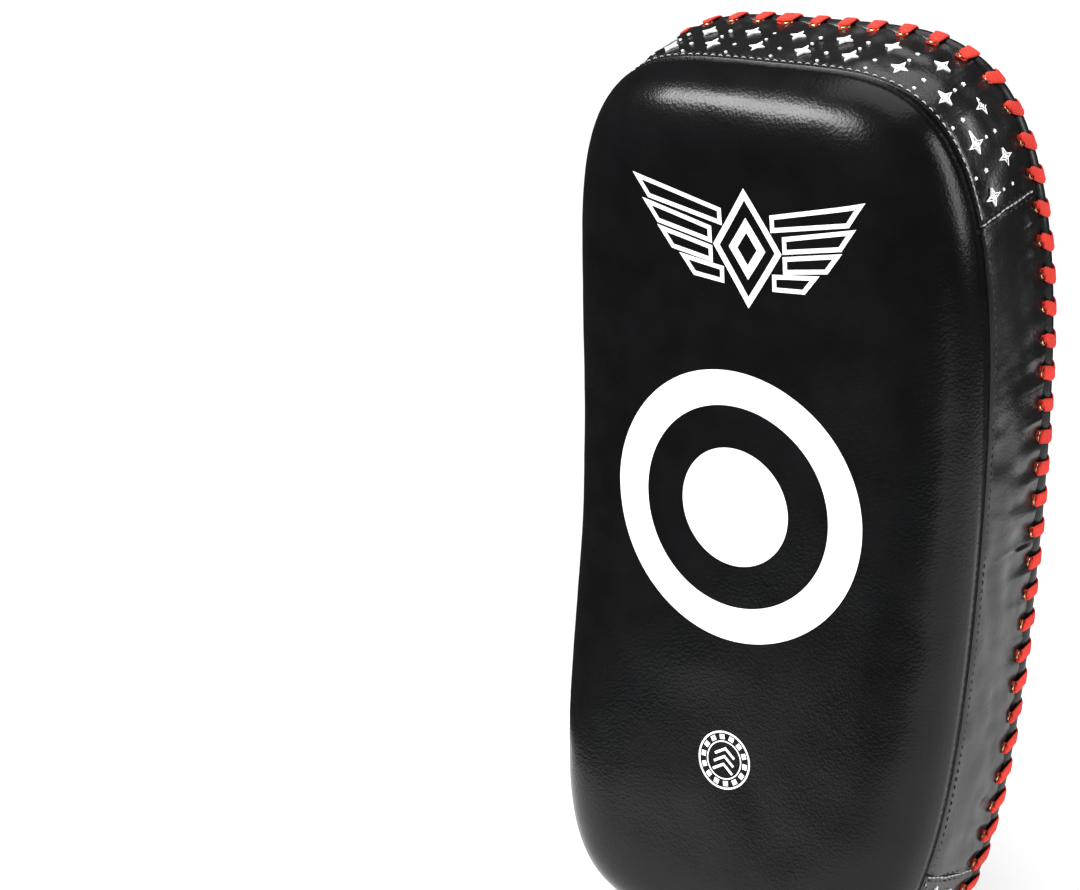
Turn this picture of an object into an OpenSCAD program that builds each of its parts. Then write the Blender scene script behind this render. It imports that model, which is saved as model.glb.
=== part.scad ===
// Thai pad: a curved, laced leather strike pad with a riveted grip handle and
// two padded forearm straps. Millimetres. Standing on its bottom end, +Z up,
// strike face towards -Y, straps towards +Y, ring side of the straps at -X.

/* [Casing] */
// Width of the casing at the front seam
pad_width = 205; // [190:5:225]
// Height of the casing along the front seam
pad_height = 400; // [390:5:420]
// Depth of the side wall, front seam to laced edge
wall_depth = 40; // [36:1:46]
// Rise of the padded strike face in front of the front seam
strike_crown = 32; // [26:1:36]
// Rise of the back panel behind the laced edge
back_rise = 24; // [20:1:27]
// Bow of the pad towards the striker, middle to ends
bow = 26.7; // [18:1:30]
// Forward lean when standing, as rise over run
lean = 0.03; // [0:0.005:0.04]
// Squareness of the outline (2 is an ellipse, higher is squarer)
outline_power = 4.4; // [3.6:0.2:5.2]
// Leather thickness of the casing panels
leather = 1.8; // [1.4:0.2:2.2]
// Diameter of the welt roll round the laced edge
welt_diameter = 8.4; // [7.4:0.2:8.4]

/* [Lacing] */
// Number of lace stitches round the laced edge
stitches = 80; // [64:4:84]
// Width of the flat lace
lace_width = 6.4; // [5:0.2:7]
// Outer diameter of the brass eyelets
eyelet_diameter = 6.6; // [5:0.2:7]

/* [Grip handle] */
// Height of the handle centre above the floor
handle_height = 333; // [326:1:338]
// Width of the riveted tabs
tab_width = 46; // [40:1:50]
// Thickness of the padded grip at the middle
grip_thickness = 31; // [26:1:33]
// Diameter of the rivet heads
rivet_diameter = 14; // [11:1:15]

/* [Forearm straps] */
// Height of the upper strap centre
upper_height = 238; // [234:1:242]
// Height of the lower strap centre
lower_height = 118; // [114:1:122]
// Width of the padded cushion
cushion_width = 62; // [54:1:64]
// Thickness of the padded cushion
cushion_thickness = 11; // [8:0.5:12]
// Thickness of each strap layer
strap_thickness = 2.4; // [2:0.1:2.6]
// Wire diameter of the rectangular rings
ring_wire = 3.2; // [2.6:0.2:3.6]

/* [View] */
// Which sub-part to show

/* [Hidden] */
W = pad_width;
H = pad_height;
S = bow;
flat = 1.6;
welt_r = welt_diameter / 2;
welt_d = wall_depth + 0.7 + welt_r;
edge_inset = 5.3;
black = [0.07, 0.07, 0.08];
soft_black = [0.13, 0.13, 0.14];
red = [0.85, 0.16, 0.12];
brass = [0.78, 0.66, 0.42];
pale = [0.85, 0.85, 0.87];
foam_col = [0.55, 0.6, 0.66];

// ---- outline of the casing -------------------------------------------------
function rect_point(u) = let(p = (u - floor(u)) * 2 * (W + H))
  p < H / 2 ? [W / 2, p]
  : p < H / 2 + W ? [W / 2 - (p - H / 2), H / 2]
  : p < H * 1.5 + W ? [-W / 2, H / 2 - (p - H / 2 - W)]
  : p < H * 1.5 + 2 * W ? [-W / 2 + (p - H * 1.5 - W), -H / 2]
  : [W / 2, -H / 2 + (p - H * 1.5 - 2 * W)];
// smooth lower limit on height, so the bottom end is flat
function lift(z, zmin) = z > zmin + 2 ? z : (z < zmin - 2 ? zmin : zmin + pow(z - zmin + 2, 2) / 8);
function rim(u, e) = let(r = rect_point(u), a = W / 2 - e,
  b = (r[1] < 0 ? H / 2 + flat : H / 2) - e,
  k = pow(pow(abs(r[0]) / a, outline_power) + pow(abs(r[1]) / b, outline_power), -1 / outline_power))
  [r[0] * k, r[1] * k];
// beyond 38 mm in, the rings close on to a spine along the middle
function outline(u, e, zmin) = let(b = rim(u, min(e, 38)), v = e <= 38 ? 0 : min((e - 38) / (W / 2 - 38), 1),
  c = sign(b[1]) * min(abs(b[1]), (H - W) / 2)) [b[0] * (1 - v), max(b[1] * (1 - v) + c * v + H / 2, zmin)];
function ease(t) = let(c = min(max(t, 0), 1)) c * c * (3 - 2 * c);
// the bow of the pad: p is [x, height], d the depth behind the front seam
function bend(p, d) = let(q = p[1] - H / 2, m = (8 * S * q / (H * H) + lean) * ease(p[1] / 60), k = sqrt(1 + m * m))
  [p[0], -S * pow(2 * q / H, 2) - lean * p[1] + d / k, p[1] + d * m / k];
// depth of the back panel, e in from the outline
function back_depth(e) = wall_depth + 4 + back_rise * (1 - pow(1 - min(max(e, 0) / 85, 1), 2.2));
// depth of the strike face, e in from the front seam
function face_depth(e, crown) = -crown * pow(1 - pow(1 - min(max(e, 0) / 36, 1), 2.2), 1 / 2.2);
function side_depth(x) = back_depth(W / 2 - abs(x));
// the lowest height allowed at depth d (the laced edge is tucked up)
function floor_at(d) = min(max((d - 30.5) * 2, 0), 3);

// ---- closed bodies from rings round the outline -----------------------------
N = 72;
// the back panel is drawn up at the bottom, behind the welt
function back_floor(e) = e - flat + 7.3 * (1 - ease((e - 15) / 60));
function back_ring(e, d) = [for (i = [0 : N - 1]) bend(outline(i / N, e, back_floor(e)), d)];
function ring(e, d, extra) = [for (i = [0 : N - 1]) bend(outline(i / N, e, floor_at(d) + extra), d)];
function cap(base, up) = [for (i = [-N / 4 : N / 4 - 1])
  let(a = (i + N) % N, b = (i + 1 + N) % N, c = (N / 2 - i - 1) % N, d = (N / 2 - i) % N)
  each (up ? [[base + a, base + b, base + c], [base + a, base + c, base + d]]
           : [[base + a, base + c, base + b], [base + a, base + d, base + c]])];
function proper(f) = [for (t = f) if (t[0] != t[1] && t[1] != t[2] && t[0] != t[2]) t];
module ring_loft(rings) {
  K = len(rings);
  polyhedron(points = [for (r = rings) each r], faces = proper(concat(
    cap(0, true),
    [for (k = [0 : K - 2]) for (i = [0 : N - 1]) let(j = (i + 1) % N, a = k * N + i, b = k * N + j, c = a + N, d = b + N)
      each [[a, c, d], [a, d, b]]],
    cap((K - 1) * N, false))), convexity = 6);
}
// strip along the outline from u0 to u1 with a closed section [[inset, depth, lift]...]
module wall_strip(u0, u1, steps, sec) {
  M = len(sec);
  pts = [for (i = [0 : steps]) for (s = sec) bend(outline(u0 + (u1 - u0) * i / steps, s[0], floor_at(s[1]) + s[2]), s[1])];
  polyhedron(points = pts, faces = concat(
    [for (j = [0 : M / 2 - 2]) each [[j, M - 1 - j, M - 2 - j], [j, M - 2 - j, j + 1]]],
    [for (i = [0 : steps - 1]) for (j = [0 : M - 1]) let(k = (j + 1) % M, a = i * M + j, b = i * M + k, c = a + M, d = b + M)
      each [[a, b, d], [a, d, c]]],
    [for (j = [0 : M / 2 - 2]) let(o = steps * M) each [[o + j, o + M - 2 - j, o + M - 1 - j], [o + j, o + j + 1, o + M - 2 - j]]]),
    convexity = 6);
}
wall_sec = [[0, 0.4, 0], [-1.9, 15, 0], [-2.55, 30.4, 0], [-2.6, 32, 0], [-2.7, wall_depth - 0.3, 0],
  [-2.7 + leather, wall_depth - 0.3, leather], [-2.6 + leather, 32, leather], [-2.55 + leather, 30.4, leather],
  [-1.9 + leather, 15, leather], [leather, 0.4, leather]];

// ---- smooth curves in a strap's own cross-section ---------------------------
function spline_point(a, b, c, d, t) = 0.5 * (2 * b + (c - a) * t + (2 * a - 5 * b + 4 * c - d) * t * t + (3 * b - a - 3 * c + d) * t * t * t);
function spline(P, k) = [for (i = [0 : len(P) - 2]) for (j = [0 : k - 1])
  spline_point(P[max(i - 1, 0)], P[i], P[i + 1], P[min(i + 2, len(P) - 1)], j / k), P[len(P) - 1]];
function normal(P, i) = let(t = P[min(i + 1, len(P) - 1)] - P[max(i - 1, 0)], l = norm(t)) [-t[1] / l, t[0] / l];
function shifted(P, o) = [for (i = [0 : len(P) - 1]) P[i] + o * normal(P, i)];
function slice(P, a, b) = [for (i = [a : b]) P[i]];
function flip(P) = [for (i = [len(P) - 1 : -1 : 0]) P[i]];
module ribbon(P, lo, hi, width) {
  linear_extrude(height = width, center = true) polygon(concat(shifted(P, hi), flip(shifted(P, lo))));
}
// a frame lying on the bowed pad at height z: x across, y depth, z up the pad
module on_back(z) {
  q = z - H / 2;
  translate([0, -S * pow(2 * q / H, 2) - lean * z, z]) rotate([atan(8 * S * q / (H * H) + lean), 0, 0]) children();
}

// ---- casing -----------------------------------------------------------------
face_e = [0, 0.8, 2.6, 6, 11, 18, 27, 38, 65, W / 2 - 2];
module strike_face_panel() {
  color(black) ring_loft(concat(
    [for (i = [len(face_e) - 1 : -1 : 0]) ring(min(face_e[i] + leather, W / 2 - 1), i == 0 ? 0 : face_depth(face_e[i], strike_crown - leather), leather)],
    [for (i = [0 : len(face_e) - 1]) ring(face_e[i], face_depth(face_e[i], strike_crown), 0)]));
}
module top_end_panel() { color(soft_black) wall_strip(0.1262, 0.3738, 30, wall_sec); }
module bottom_end_panel() { color(soft_black) wall_strip(0.6262, 0.8738, 31, wall_sec); }
module left_side_panel() { color(black) wall_strip(0.3748, 0.6252, 16, wall_sec); }
module right_side_panel() { color(black) wall_strip(-0.1252, 0.1252, 16, wall_sec); }
back_e = [edge_inset, 9, 14, 22, 32, 45, 60, 85, W / 2 - 2];
module back_shell() {
  ring_loft(concat(
    [for (i = [len(back_e) - 1 : -1 : 0]) back_ring(back_e[i], back_depth(back_e[i]))],
    [for (i = [0 : len(back_e) - 1]) back_ring(min(back_e[i] + (i == 0 ? 0.6 : 0), W / 2 - 1), back_depth(back_e[i]) - leather)]));
}
module rivet_spots() {
  on_back(handle_height) for (sx = [-1, 1]) for (dz = [-14, 14]) translate([sx * 77, side_depth(77), dz]) rotate([0, 0, -sx * 27]) rotate([-90, 0, 0]) translate([0, 0, -45]) children();
}
module back_piece(x0, x1) {
  difference() {
    intersection() { back_shell(); translate([x0, -60, -5]) cube([x1 - x0, 160, H + 30]); }
    rivet_spots() cylinder(d = 5, h = 90, $fn = 24);
  }
}
module back_panel_centre() { color(black) back_piece(-49.85, 49.85); }
module back_panel_left() { color(black) back_piece(-110, -50.15); }
module back_panel_right() { color(black) back_piece(50.15, 110); }
module strike_foam() {
  color(foam_col) ring_loft(concat(
    [for (i = [len(face_e) - 1 : -1 : 1]) ring(min(face_e[i] + leather + 0.5, W / 2 - 1), face_depth(face_e[i], strike_crown - leather - 0.3), leather + 0.3)],
    [ring(leather + 1.2, -0.2, leather + 0.3), ring(60, -0.2, leather + 0.3), ring(W / 2 - 1, -0.2, leather + 0.3)]));
}
// closed from the front outwards, so the rings run the other way round
module core_foam() {
  color(foam_col) ring_loft([ring(W / 2 - 1, wall_depth, leather + 0.3), ring(60, wall_depth, leather + 0.3),
    ring(0.1, wall_depth, leather + 0.8), ring(-2.6 + leather + 0.8, 32, leather + 0.8),
    ring(-2.55 + leather + 0.8, 30.4, leather + 0.8), ring(-1.9 + leather + 0.8, 15, leather + 0.8), ring(leather + 0.8, 0.2, leather + 0.8),
    ring(60, 0.2, leather + 0.3), ring(W / 2 - 1, 0.2, leather + 0.3)]);
}
module back_foam() {
  difference() {
    color(foam_col) ring_loft(concat(
      [for (i = [len(back_e) - 1 : -1 : 0]) back_ring(min(back_e[i] + (i == 0 ? 2.2 : 0), W / 2 - 1), back_depth(back_e[i]) - leather - 0.9)],
      [back_ring(edge_inset + 2.2, wall_depth + 0.5), back_ring(60, wall_depth + 0.5), back_ring(W / 2 - 1, wall_depth + 0.5)]));
    rivet_spots() translate([0, 0, 30]) cylinder(d = 16, h = 30, $fn = 24);
  }
}
// roll of leather round the laced edge
WN = 96;
WM = 10;
function welt_centre(u) = let(p = outline(u, 0.5, 0)) bend([p[0], lift(p[1], 2.6 + welt_r)], welt_d);
function unit(v) = v / norm(v);
function welt_tangent(u) = unit(welt_centre(u + 0.002) - welt_centre(u - 0.002));
function depth_dir(u) = let(p = outline(u, 0.5, 0), q = p[1] - H / 2, m = (8 * S * q / (H * H) + lean) * ease(p[1] / 60)) unit([0, 1, m]);
function out_dir(u) = unit(cross(depth_dir(u), welt_tangent(u)));
module welt() {
  pts = [for (i = [0 : WN - 1]) let(u = i / WN, c = welt_centre(u), t = welt_tangent(u), o = -out_dir(u), d = unit(cross(t, o)))
    for (j = [0 : WM - 1]) c + welt_r * (cos(360 * j / WM) * o + sin(360 * j / WM) * d)];
  color(black) polyhedron(points = pts, faces = [for (i = [0 : WN - 1]) for (j = [0 : WM - 1])
    let(i2 = (i + 1) % WN, j2 = (j + 1) % WM, a = i * WM + j, b = i * WM + j2, c = i2 * WM + j, d = i2 * WM + j2)
    each [[a, d, c], [a, b, d]]], convexity = 10);
}
// even spacing along the welt
LN = 240;
function run_length(i) = i == 0 ? 0 : norm(welt_centre(i / LN) - welt_centre((i - 1) / LN));
LENS = [for (i = 0, s = 0; i <= LN; i = i + 1, s = s + run_length(i)) [s + 0, i / LN]];
TOTAL = LENS[LN][0];
function at_run(s) = lookup(s - floor(s / TOTAL) * TOTAL, LENS);
module station(s) {
  u = at_run(s);
  c = welt_centre(u);
  d = depth_dir(u);
  t = welt_tangent(u);
  o = unit(cross(d, t));
  multmatrix([[o[0], d[0], cross(o, d)[0], c[0]], [o[1], d[1], cross(o, d)[1], c[1]], [o[2], d[2], cross(o, d)[2], c[2]], [0, 0, 0, 1]]) children();
}
// the back panel in the frame of a station, e in from the outline: [out, deep]
function panel_at(u, e) = let(v = bend(outline(u, e, back_floor(e)), back_depth(e)) - welt_centre(u), d = depth_dir(u), o = unit(cross(d, welt_tangent(u))))
  [v * o, v * d];
function panel_up(u) = let(t = unit(panel_at(u, 14) - panel_at(u, 10))) [t[1], -t[0]];
function stitch(u) = concat([[5.75, -10.5], [5.7, -5], [5.4, 0], [5, 1.95], [4.1, 3.6], [2.7, 4.8], [0.85, 5.5]],
  [panel_at(u, 7) + 2.5 * panel_up(u), panel_at(u, 10) + 2.2 * panel_up(u), panel_at(u, 14) + 2.1 * panel_up(u)]);
module lace() {
  color(red) for (i = [0 : stitches - 1]) let(P = stitch(at_run((i + 0.5) * TOTAL / stitches))) station((i + 0.5) * TOTAL / stitches)
    rotate(a = 10, v = [1, 1, 0]) linear_extrude(height = lace_width, center = true)
      polygon(concat(shifted(P, 0.475), flip(shifted(P, -0.475))));
}
module eyelet() {
  difference() { cylinder(d = eyelet_diameter, h = 0.8, $fn = 32); translate([0, 0, -1]) cylinder(d = eyelet_diameter - 2.8, h = 3, $fn = 32); }
}
module back_eyelets() {
  color(brass) for (i = [0 : stitches - 1]) let(u = at_run((i + 0.5) * TOTAL / stitches), n = panel_up(u), p = panel_at(u, 13) + 0.4 * n)
    station((i + 0.5) * TOTAL / stitches) translate([p[0], p[1], 2.6]) rotate([-90, 0, 0]) rotate([0, atan2(n[0], n[1]), 0]) eyelet();
}
module side_eyelets() {
  color(brass) for (i = [0 : stitches - 1]) station((i + 0.5) * TOTAL / stitches)
    translate([3.95, -9.5, -2.4]) rotate([0, 90, 0]) eyelet();
}
module label_patch() {
  P = [for (x = [-38 : 8 : 58]) [x, side_depth(x)]];
  color(pale) on_back(165) ribbon(P, 0.3, 1.2, 56);
}

// ---- grip handle ------------------------------------------------------------
grip_path = spline([[-60, 74.5], [-47, 86.5], [-29, 99], [-8, 107.5], [12, 110.5], [31, 108.5], [48, 101], [60, 89.5], [67, 76]], 3);
function grip_t(i) = let(f = i / (len(grip_path) - 1)) 2.6 + (grip_thickness / 2 - 2.6) * pow(max(sin(180 * f), 0), 0.45);
function grip_w(i) = let(f = i / (len(grip_path) - 1)) 21 - 3.5 * sin(180 * f);
SM = 18;
function superellipse(t, n) = [sign(cos(t)) * pow(abs(cos(t)), 2 / n), sign(sin(t)) * pow(abs(sin(t)), 2 / n)];
module sweep(P, ins, grow) {
  K = len(P);
  pts = [for (i = [0 : K - 1]) let(nn = normal(P, i), tt = [nn[1], -nn[0]], g = i == 0 ? -grow : (i == K - 1 ? grow : 0))
    for (j = [0 : SM - 1]) let(c = superellipse(360 * j / SM, 2.3), t = max(grip_t(i) - ins, 0.4) * c[0], w = (grip_w(i) - ins) * c[1])
      [P[i][0] + nn[0] * t + tt[0] * g, P[i][1] + nn[1] * t + tt[1] * g, w]];
  polyhedron(points = pts, faces = concat(
    [[for (j = [0 : SM - 1]) j]],
    [for (i = [0 : K - 2]) for (j = [0 : SM - 1]) let(k = (j + 1) % SM, a = i * SM + j, b = i * SM + k, c = a + SM, d = b + SM)
      each [[a, c, d], [a, d, b]]],
    [[for (j = [SM - 1 : -1 : 0]) (K - 1) * SM + j]]), convexity = 6);
}
module handle_cover() {
  color(black) on_back(handle_height) difference() { sweep(grip_path, 0, 0); sweep(grip_path, 1.7, 2); }
}
module handle_core() { color(foam_col) on_back(handle_height) sweep(grip_path, 2.0, -1); }
tab_l = [[-87, side_depth(87) + 3.9], [-82, side_depth(82) + 3.9], [-77, side_depth(77) + 3.8], [-72, side_depth(72) + 4], [-66.8, 67.2]];
tab_r = [[68.8, 67.4], [73, side_depth(73) + 4.4], [77.5, side_depth(77.5) + 3.9], [82, side_depth(82) + 3.9], [87, side_depth(87) + 3.9]];
web_l = [[-83.5, side_depth(83.5)], [-79.5, side_depth(79.5)], [-75, side_depth(75)], [-69, side_depth(69)], [-64, side_depth(64)]];
web_r = [[64, side_depth(64)], [69, side_depth(69)], [75, side_depth(75)], [79.5, side_depth(79.5)], [83.5, side_depth(83.5)]];
module handle_tab(P, lo, hi, w) {
  difference() { on_back(handle_height) ribbon(spline(P, 3), lo, hi, w); rivet_spots() cylinder(d = 5, h = 90, $fn = 24); }
}
module handle_tab_left() { color(black) handle_tab(tab_l, -1.5, 1.5, tab_width); }
module handle_tab_right() { color(black) handle_tab(tab_r, -1.5, 1.5, tab_width); }
module handle_webbing_left() { color(soft_black) handle_tab(web_l, 0.4, 1.9, tab_width - 1); }
module handle_webbing_right() { color(soft_black) handle_tab(web_r, 0.4, 1.9, tab_width - 1); }
rivet_z = side_depth(77);
module rivet_set(h0) {
  on_back(handle_height) for (sx = [-1, 1]) for (dz = [-14, 14]) translate([sx * 77, rivet_z, dz]) rotate([0, 0, -sx * 27]) rotate([-90, 0, 0]) translate([0, 0, h0]) children();
}
module handle_rivets() {
  color(brass) rivet_set(5.9) {
    rotate_extrude($fn = 48) polygon([[0, -14.8], [1.9, -14.8], [1.9, 0], [rivet_diameter / 2, 0], [rivet_diameter / 2, 0.7], [rivet_diameter / 2 - 1.6, 1.7], [0, 2.1]]);
  }
}
module handle_rivet_washers() {
  color(brass) rivet_set(-8.4) difference() { cylinder(d = 11, h = 1.2, $fn = 40); translate([0, 0, -1]) cylinder(d = 4.4, h = 4, $fn = 40); }
}

// ---- forearm straps ---------------------------------------------------------
pivot_d = 67;
bar_x = 72;
top_bar = [84, 92.5];
// outer face of the cushion, left base over to the ring side; k is the arch height factor
function arch(k) = spline([for (p = [[-61.5, 78], [-54, 88], [-43, 100], [-28, 111.5], [-8, 119.5], [15, 124.5], [36, 128.5], [51, 130], [63, 128], [71, 121], [75.2, 110], [76, 98], [74.6, 88], [72.5, 77]])
  [p[0], p[1] < 98 ? p[1] : 98 + (p[1] - 98) * k]], 3);
L1 = cushion_thickness;
band_lo = 0.4;
band_hi = band_lo + strap_thickness;
tape = 1.2;
loop_lo = band_hi + 0.3;
hook_lo = loop_lo + tape + 0.3;
flap_lo = hook_lo + tape + 0.3;
flap_hi = flap_lo + strap_thickness;
flap_mid = (flap_lo + flap_hi) / 2;
fold_r = 4.4 + strap_thickness / 2;
// flap centre line: free end on the left, over the arch, down and round the ring's bar
function flap_path(k) = concat(
  shifted(slice(arch(k), 9, 29), flap_mid),
  spline([[84.6, 98 + 12 * k], [87.3, 101], [top_bar[0] + fold_r, top_bar[1]]], 4),
  [for (a = [-20 : -20 : -160]) top_bar + fold_r * [cos(a), sin(a)]]);
function mix(a, b, t) = a * (1 - t) + b * t;
module strap_cushion(k) {
  P = arch(k);
  color(black) difference() {
    ribbon(P, -L1, 0, cushion_width);
    ribbon(slice(P, 1, len(P) - 2), -L1 + 1.5, -1.5, cushion_width - 3);
  }
}
module cushion_foam(k) {
  P = arch(k);
  n = len(P) - 1;
  color(foam_col) ribbon(concat([mix(P[1], P[2], 0.1)], slice(P, 2, n - 2), [mix(P[n - 1], P[n - 2], 0.1)]), -L1 + 1.8, -1.8, cushion_width - 3.6);
}
module strap_band(k) {
  color(soft_black) union() {
    ribbon(slice(arch(k), 0, 30), band_lo, band_hi, cushion_width - 6);
    ribbon(slice(arch(k), 28, 33), band_lo, band_hi, 39);
  }
}
module loop_tape(k) { color(soft_black) ribbon(slice(arch(k), 9, 27), loop_lo, loop_lo + tape, 50); }
module hook_tape(k) { color(soft_black) ribbon(slice(arch(k), 10, 26), hook_lo, hook_lo + tape, 50); }
module strap_flap(k) {
  P = flap_path(k);
  color(black) union() {
    ribbon(slice(P, 0, 22), -strap_thickness / 2, strap_thickness / 2, 56);
    ribbon(slice(P, 20, len(P) - 1), -strap_thickness / 2, strap_thickness / 2, 39);
  }
}
module flap_binding(k) {
  P = slice(flap_path(k), 0, 21);
  color([0.3, 0.3, 0.32]) for (s = [-1, 1]) translate([0, 0, s * (28 + 0.25 + 1.2)]) ribbon(P, -strap_thickness / 2 - 0.2, strap_thickness / 2 + 0.6, 2.4);
}
ring_half = 24;
module strap_ring() {
  v = top_bar - [bar_x, pivot_d];
  L = norm(v);
  r = ring_wire / 2;
  c = 5;
  color(brass) translate([bar_x, pivot_d, 0]) rotate([0, 0, atan2(v[1], v[0])]) rotate([90, 0, 0]) {
    for (z = [-1, 1]) {
      translate([c, z * (ring_half - r), 0]) rotate([0, 90, 0]) cylinder(r = r, h = L - 2 * c, $fn = 40);
    }
    for (x = [0, L]) translate([x, -(ring_half - r - c), 0]) rotate([-90, 0, 0]) cylinder(r = r, h = 2 * (ring_half - r - c), $fn = 40);
    for (q = [[c, ring_half - r - c, 90], [c, -(ring_half - r - c), 180], [L - c, -(ring_half - r - c), 270], [L - c, ring_half - r - c, 0]])
      translate([q[0], q[1], 0]) rotate([0, 0, q[2]]) rotate_extrude(angle = 90, $fn = 40) translate([c, 0]) circle(r = r, $fn = 40);
  }
}
module ring_keeper() {
  P = [[72, pivot_d - 5.4], [75.5, side_depth(75.5) + 3.3], [79.5, side_depth(79.5) + 3.1], [83.5, side_depth(83.5) + 3.1]];
  color(black) union() {
    difference() {
      translate([bar_x, pivot_d, 0]) cylinder(r = 6.4, h = 36, center = true, $fn = 48);
      translate([bar_x, pivot_d, 0]) cylinder(r = 4.4, h = 40, center = true, $fn = 48);
    }
    ribbon(spline(P, 3), -1, 1, 36);
  }
}
module keeper_patch() {
  P = [for (x = [61 : 4 : 85]) [x, side_depth(x)]];
  color(soft_black) ribbon(P, 0.2, 1.1, 56);
}
module strap_anchor() {
  P = [[-86, side_depth(86) + 2], [-80, side_depth(80) + 1.9], [-74, side_depth(74) + 1.9], [-69.5, side_depth(69.5) + 3.4], [-65.4, 73]];
  color(black) ribbon(spline(P, 3), -1.5, 1.5, cushion_width - 4);
}
// the straps close towards -X
module on_strap(z) { on_back(z) mirror([1, 0, 0]) children(); }
module upper_strap_anchor() { on_strap(upper_height) strap_anchor(); }
module upper_strap_cushion() { on_strap(upper_height) strap_cushion(1); }
module upper_strap_foam() { on_strap(upper_height) cushion_foam(1); }
module upper_strap_band() { on_strap(upper_height) strap_band(1); }
module upper_loop_tape() { on_strap(upper_height) loop_tape(1); }
module upper_hook_tape() { on_strap(upper_height) hook_tape(1); }
module upper_strap_flap() { on_strap(upper_height) strap_flap(1); }
module upper_flap_binding() { on_strap(upper_height) flap_binding(1); }
module upper_ring() { on_strap(upper_height) strap_ring(); }
module upper_ring_keeper() { on_strap(upper_height) ring_keeper(); }
module upper_keeper_patch() { on_strap(upper_height) keeper_patch(); }
LK = 1.25;
module lower_strap_anchor() { on_strap(lower_height) strap_anchor(); }
module lower_strap_cushion() { on_strap(lower_height) strap_cushion(LK); }
module lower_strap_foam() { on_strap(lower_height) cushion_foam(LK); }
module lower_strap_band() { on_strap(lower_height) strap_band(LK); }
module lower_loop_tape() { on_strap(lower_height) loop_tape(LK); }
module lower_hook_tape() { on_strap(lower_height) hook_tape(LK); }
module lower_strap_flap() { on_strap(lower_height) strap_flap(LK); }
module lower_flap_binding() { on_strap(lower_height) flap_binding(LK); }
module lower_ring() { on_strap(lower_height) strap_ring(); }
module lower_ring_keeper() { on_strap(lower_height) ring_keeper(); }
module lower_keeper_patch() { on_strap(lower_height) keeper_patch(); }

strike_face_panel();
top_end_panel();
bottom_end_panel();
left_side_panel();
right_side_panel();
back_panel_centre();
back_panel_left();
back_panel_right();
welt();
lace();
back_eyelets();
side_eyelets();
label_patch();
strike_foam();
core_foam();
back_foam();
handle_cover();
handle_core();
handle_tab_left();
handle_tab_right();
handle_webbing_left();
handle_webbing_right();
handle_rivets();
handle_rivet_washers();
upper_strap_anchor();
upper_strap_cushion();
upper_strap_foam();
upper_strap_band();
upper_loop_tape();
upper_hook_tape();
upper_strap_flap();
upper_flap_binding();
upper_ring();
upper_ring_keeper();
upper_keeper_patch();
lower_strap_anchor();
lower_strap_cushion();
lower_strap_foam();
lower_strap_band();
lower_loop_tape();
lower_hook_tape();
lower_strap_flap();
lower_flap_binding();
lower_ring();
lower_ring_keeper();
lower_keeper_patch();
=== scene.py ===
import bpy, bmesh, math
import numpy as np
from mathutils import Vector, Matrix, noise as mnoise


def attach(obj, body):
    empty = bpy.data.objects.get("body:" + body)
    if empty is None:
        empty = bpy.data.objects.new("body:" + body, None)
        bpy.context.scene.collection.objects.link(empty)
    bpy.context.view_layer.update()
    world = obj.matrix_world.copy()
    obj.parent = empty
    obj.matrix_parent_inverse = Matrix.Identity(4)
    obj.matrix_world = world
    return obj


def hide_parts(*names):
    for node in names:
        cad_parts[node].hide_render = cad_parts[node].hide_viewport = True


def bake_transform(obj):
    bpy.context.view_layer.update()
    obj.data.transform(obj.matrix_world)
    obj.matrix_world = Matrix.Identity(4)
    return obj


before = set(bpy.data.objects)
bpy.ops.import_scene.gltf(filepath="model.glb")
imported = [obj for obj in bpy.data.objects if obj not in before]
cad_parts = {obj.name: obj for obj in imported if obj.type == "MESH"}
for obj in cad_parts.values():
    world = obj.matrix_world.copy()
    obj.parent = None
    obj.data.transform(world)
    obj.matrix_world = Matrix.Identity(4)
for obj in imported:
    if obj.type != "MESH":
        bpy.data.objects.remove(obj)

# ------------------------------------------------------------------ camera
phi, F = math.radians(1.079), Vector((-0.6220, 0.7280, -0.2883)).normalized()
R0 = Vector((0.7603, 0.6496, 0.0)).normalized()
U0 = R0.cross(F)
Rr = R0 * math.cos(phi) + U0 * math.sin(phi)
Ur = U0 * math.cos(phi) - R0 * math.sin(phi)
cam_data = bpy.data.cameras.new("camera")
cam_data.lens, cam_data.sensor_width = 65.2, 36.0
cam = bpy.data.objects.new("camera", cam_data)
bpy.context.scene.collection.objects.link(cam)
at = Vector((0.4527, -0.6914, 0.4773)) - F * 0.015 - Ur * 0.0018 - Rr * 0.0021
cam.matrix_world = Matrix.Rotation(math.atan(0.03), 4, "X") @ Matrix(((Rr.x, Ur.x, -F.x, at.x), (Rr.y, Ur.y, -F.y, at.y), (Rr.z, Ur.z, -F.z, at.z), (0, 0, 0, 1)))
bpy.context.scene.camera = cam
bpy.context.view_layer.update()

# ------------------------------------------------------------------ sizes, mm
W, H, S, NP, FLAT, WALL, CROWN, RISE = 205.0, 400.0, 26.7, 4.4, 1.6, 40.0, 32.0, 24.0
WR, LEA, LEAN = 4.2, 1.8, 0.03
WD = WALL + 0.7 + WR
NST = 80
rng = np.random.RandomState(11)


def rect_point(u):
    u = np.asarray(u, float)
    p = (u - np.floor(u)) * 2 * (W + H)
    x = np.where(p < H / 2, W / 2, np.where(p < H / 2 + W, W / 2 - (p - H / 2), np.where(p < 1.5 * H + W, -W / 2, np.where(p < 1.5 * H + 2 * W, -W / 2 + (p - 1.5 * H - W), W / 2))))
    z = np.where(p < H / 2, p, np.where(p < H / 2 + W, H / 2, np.where(p < 1.5 * H + W, H / 2 - (p - H / 2 - W), np.where(p < 1.5 * H + 2 * W, -H / 2, -H / 2 + (p - 1.5 * H - 2 * W)))))
    return x, z


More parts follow.
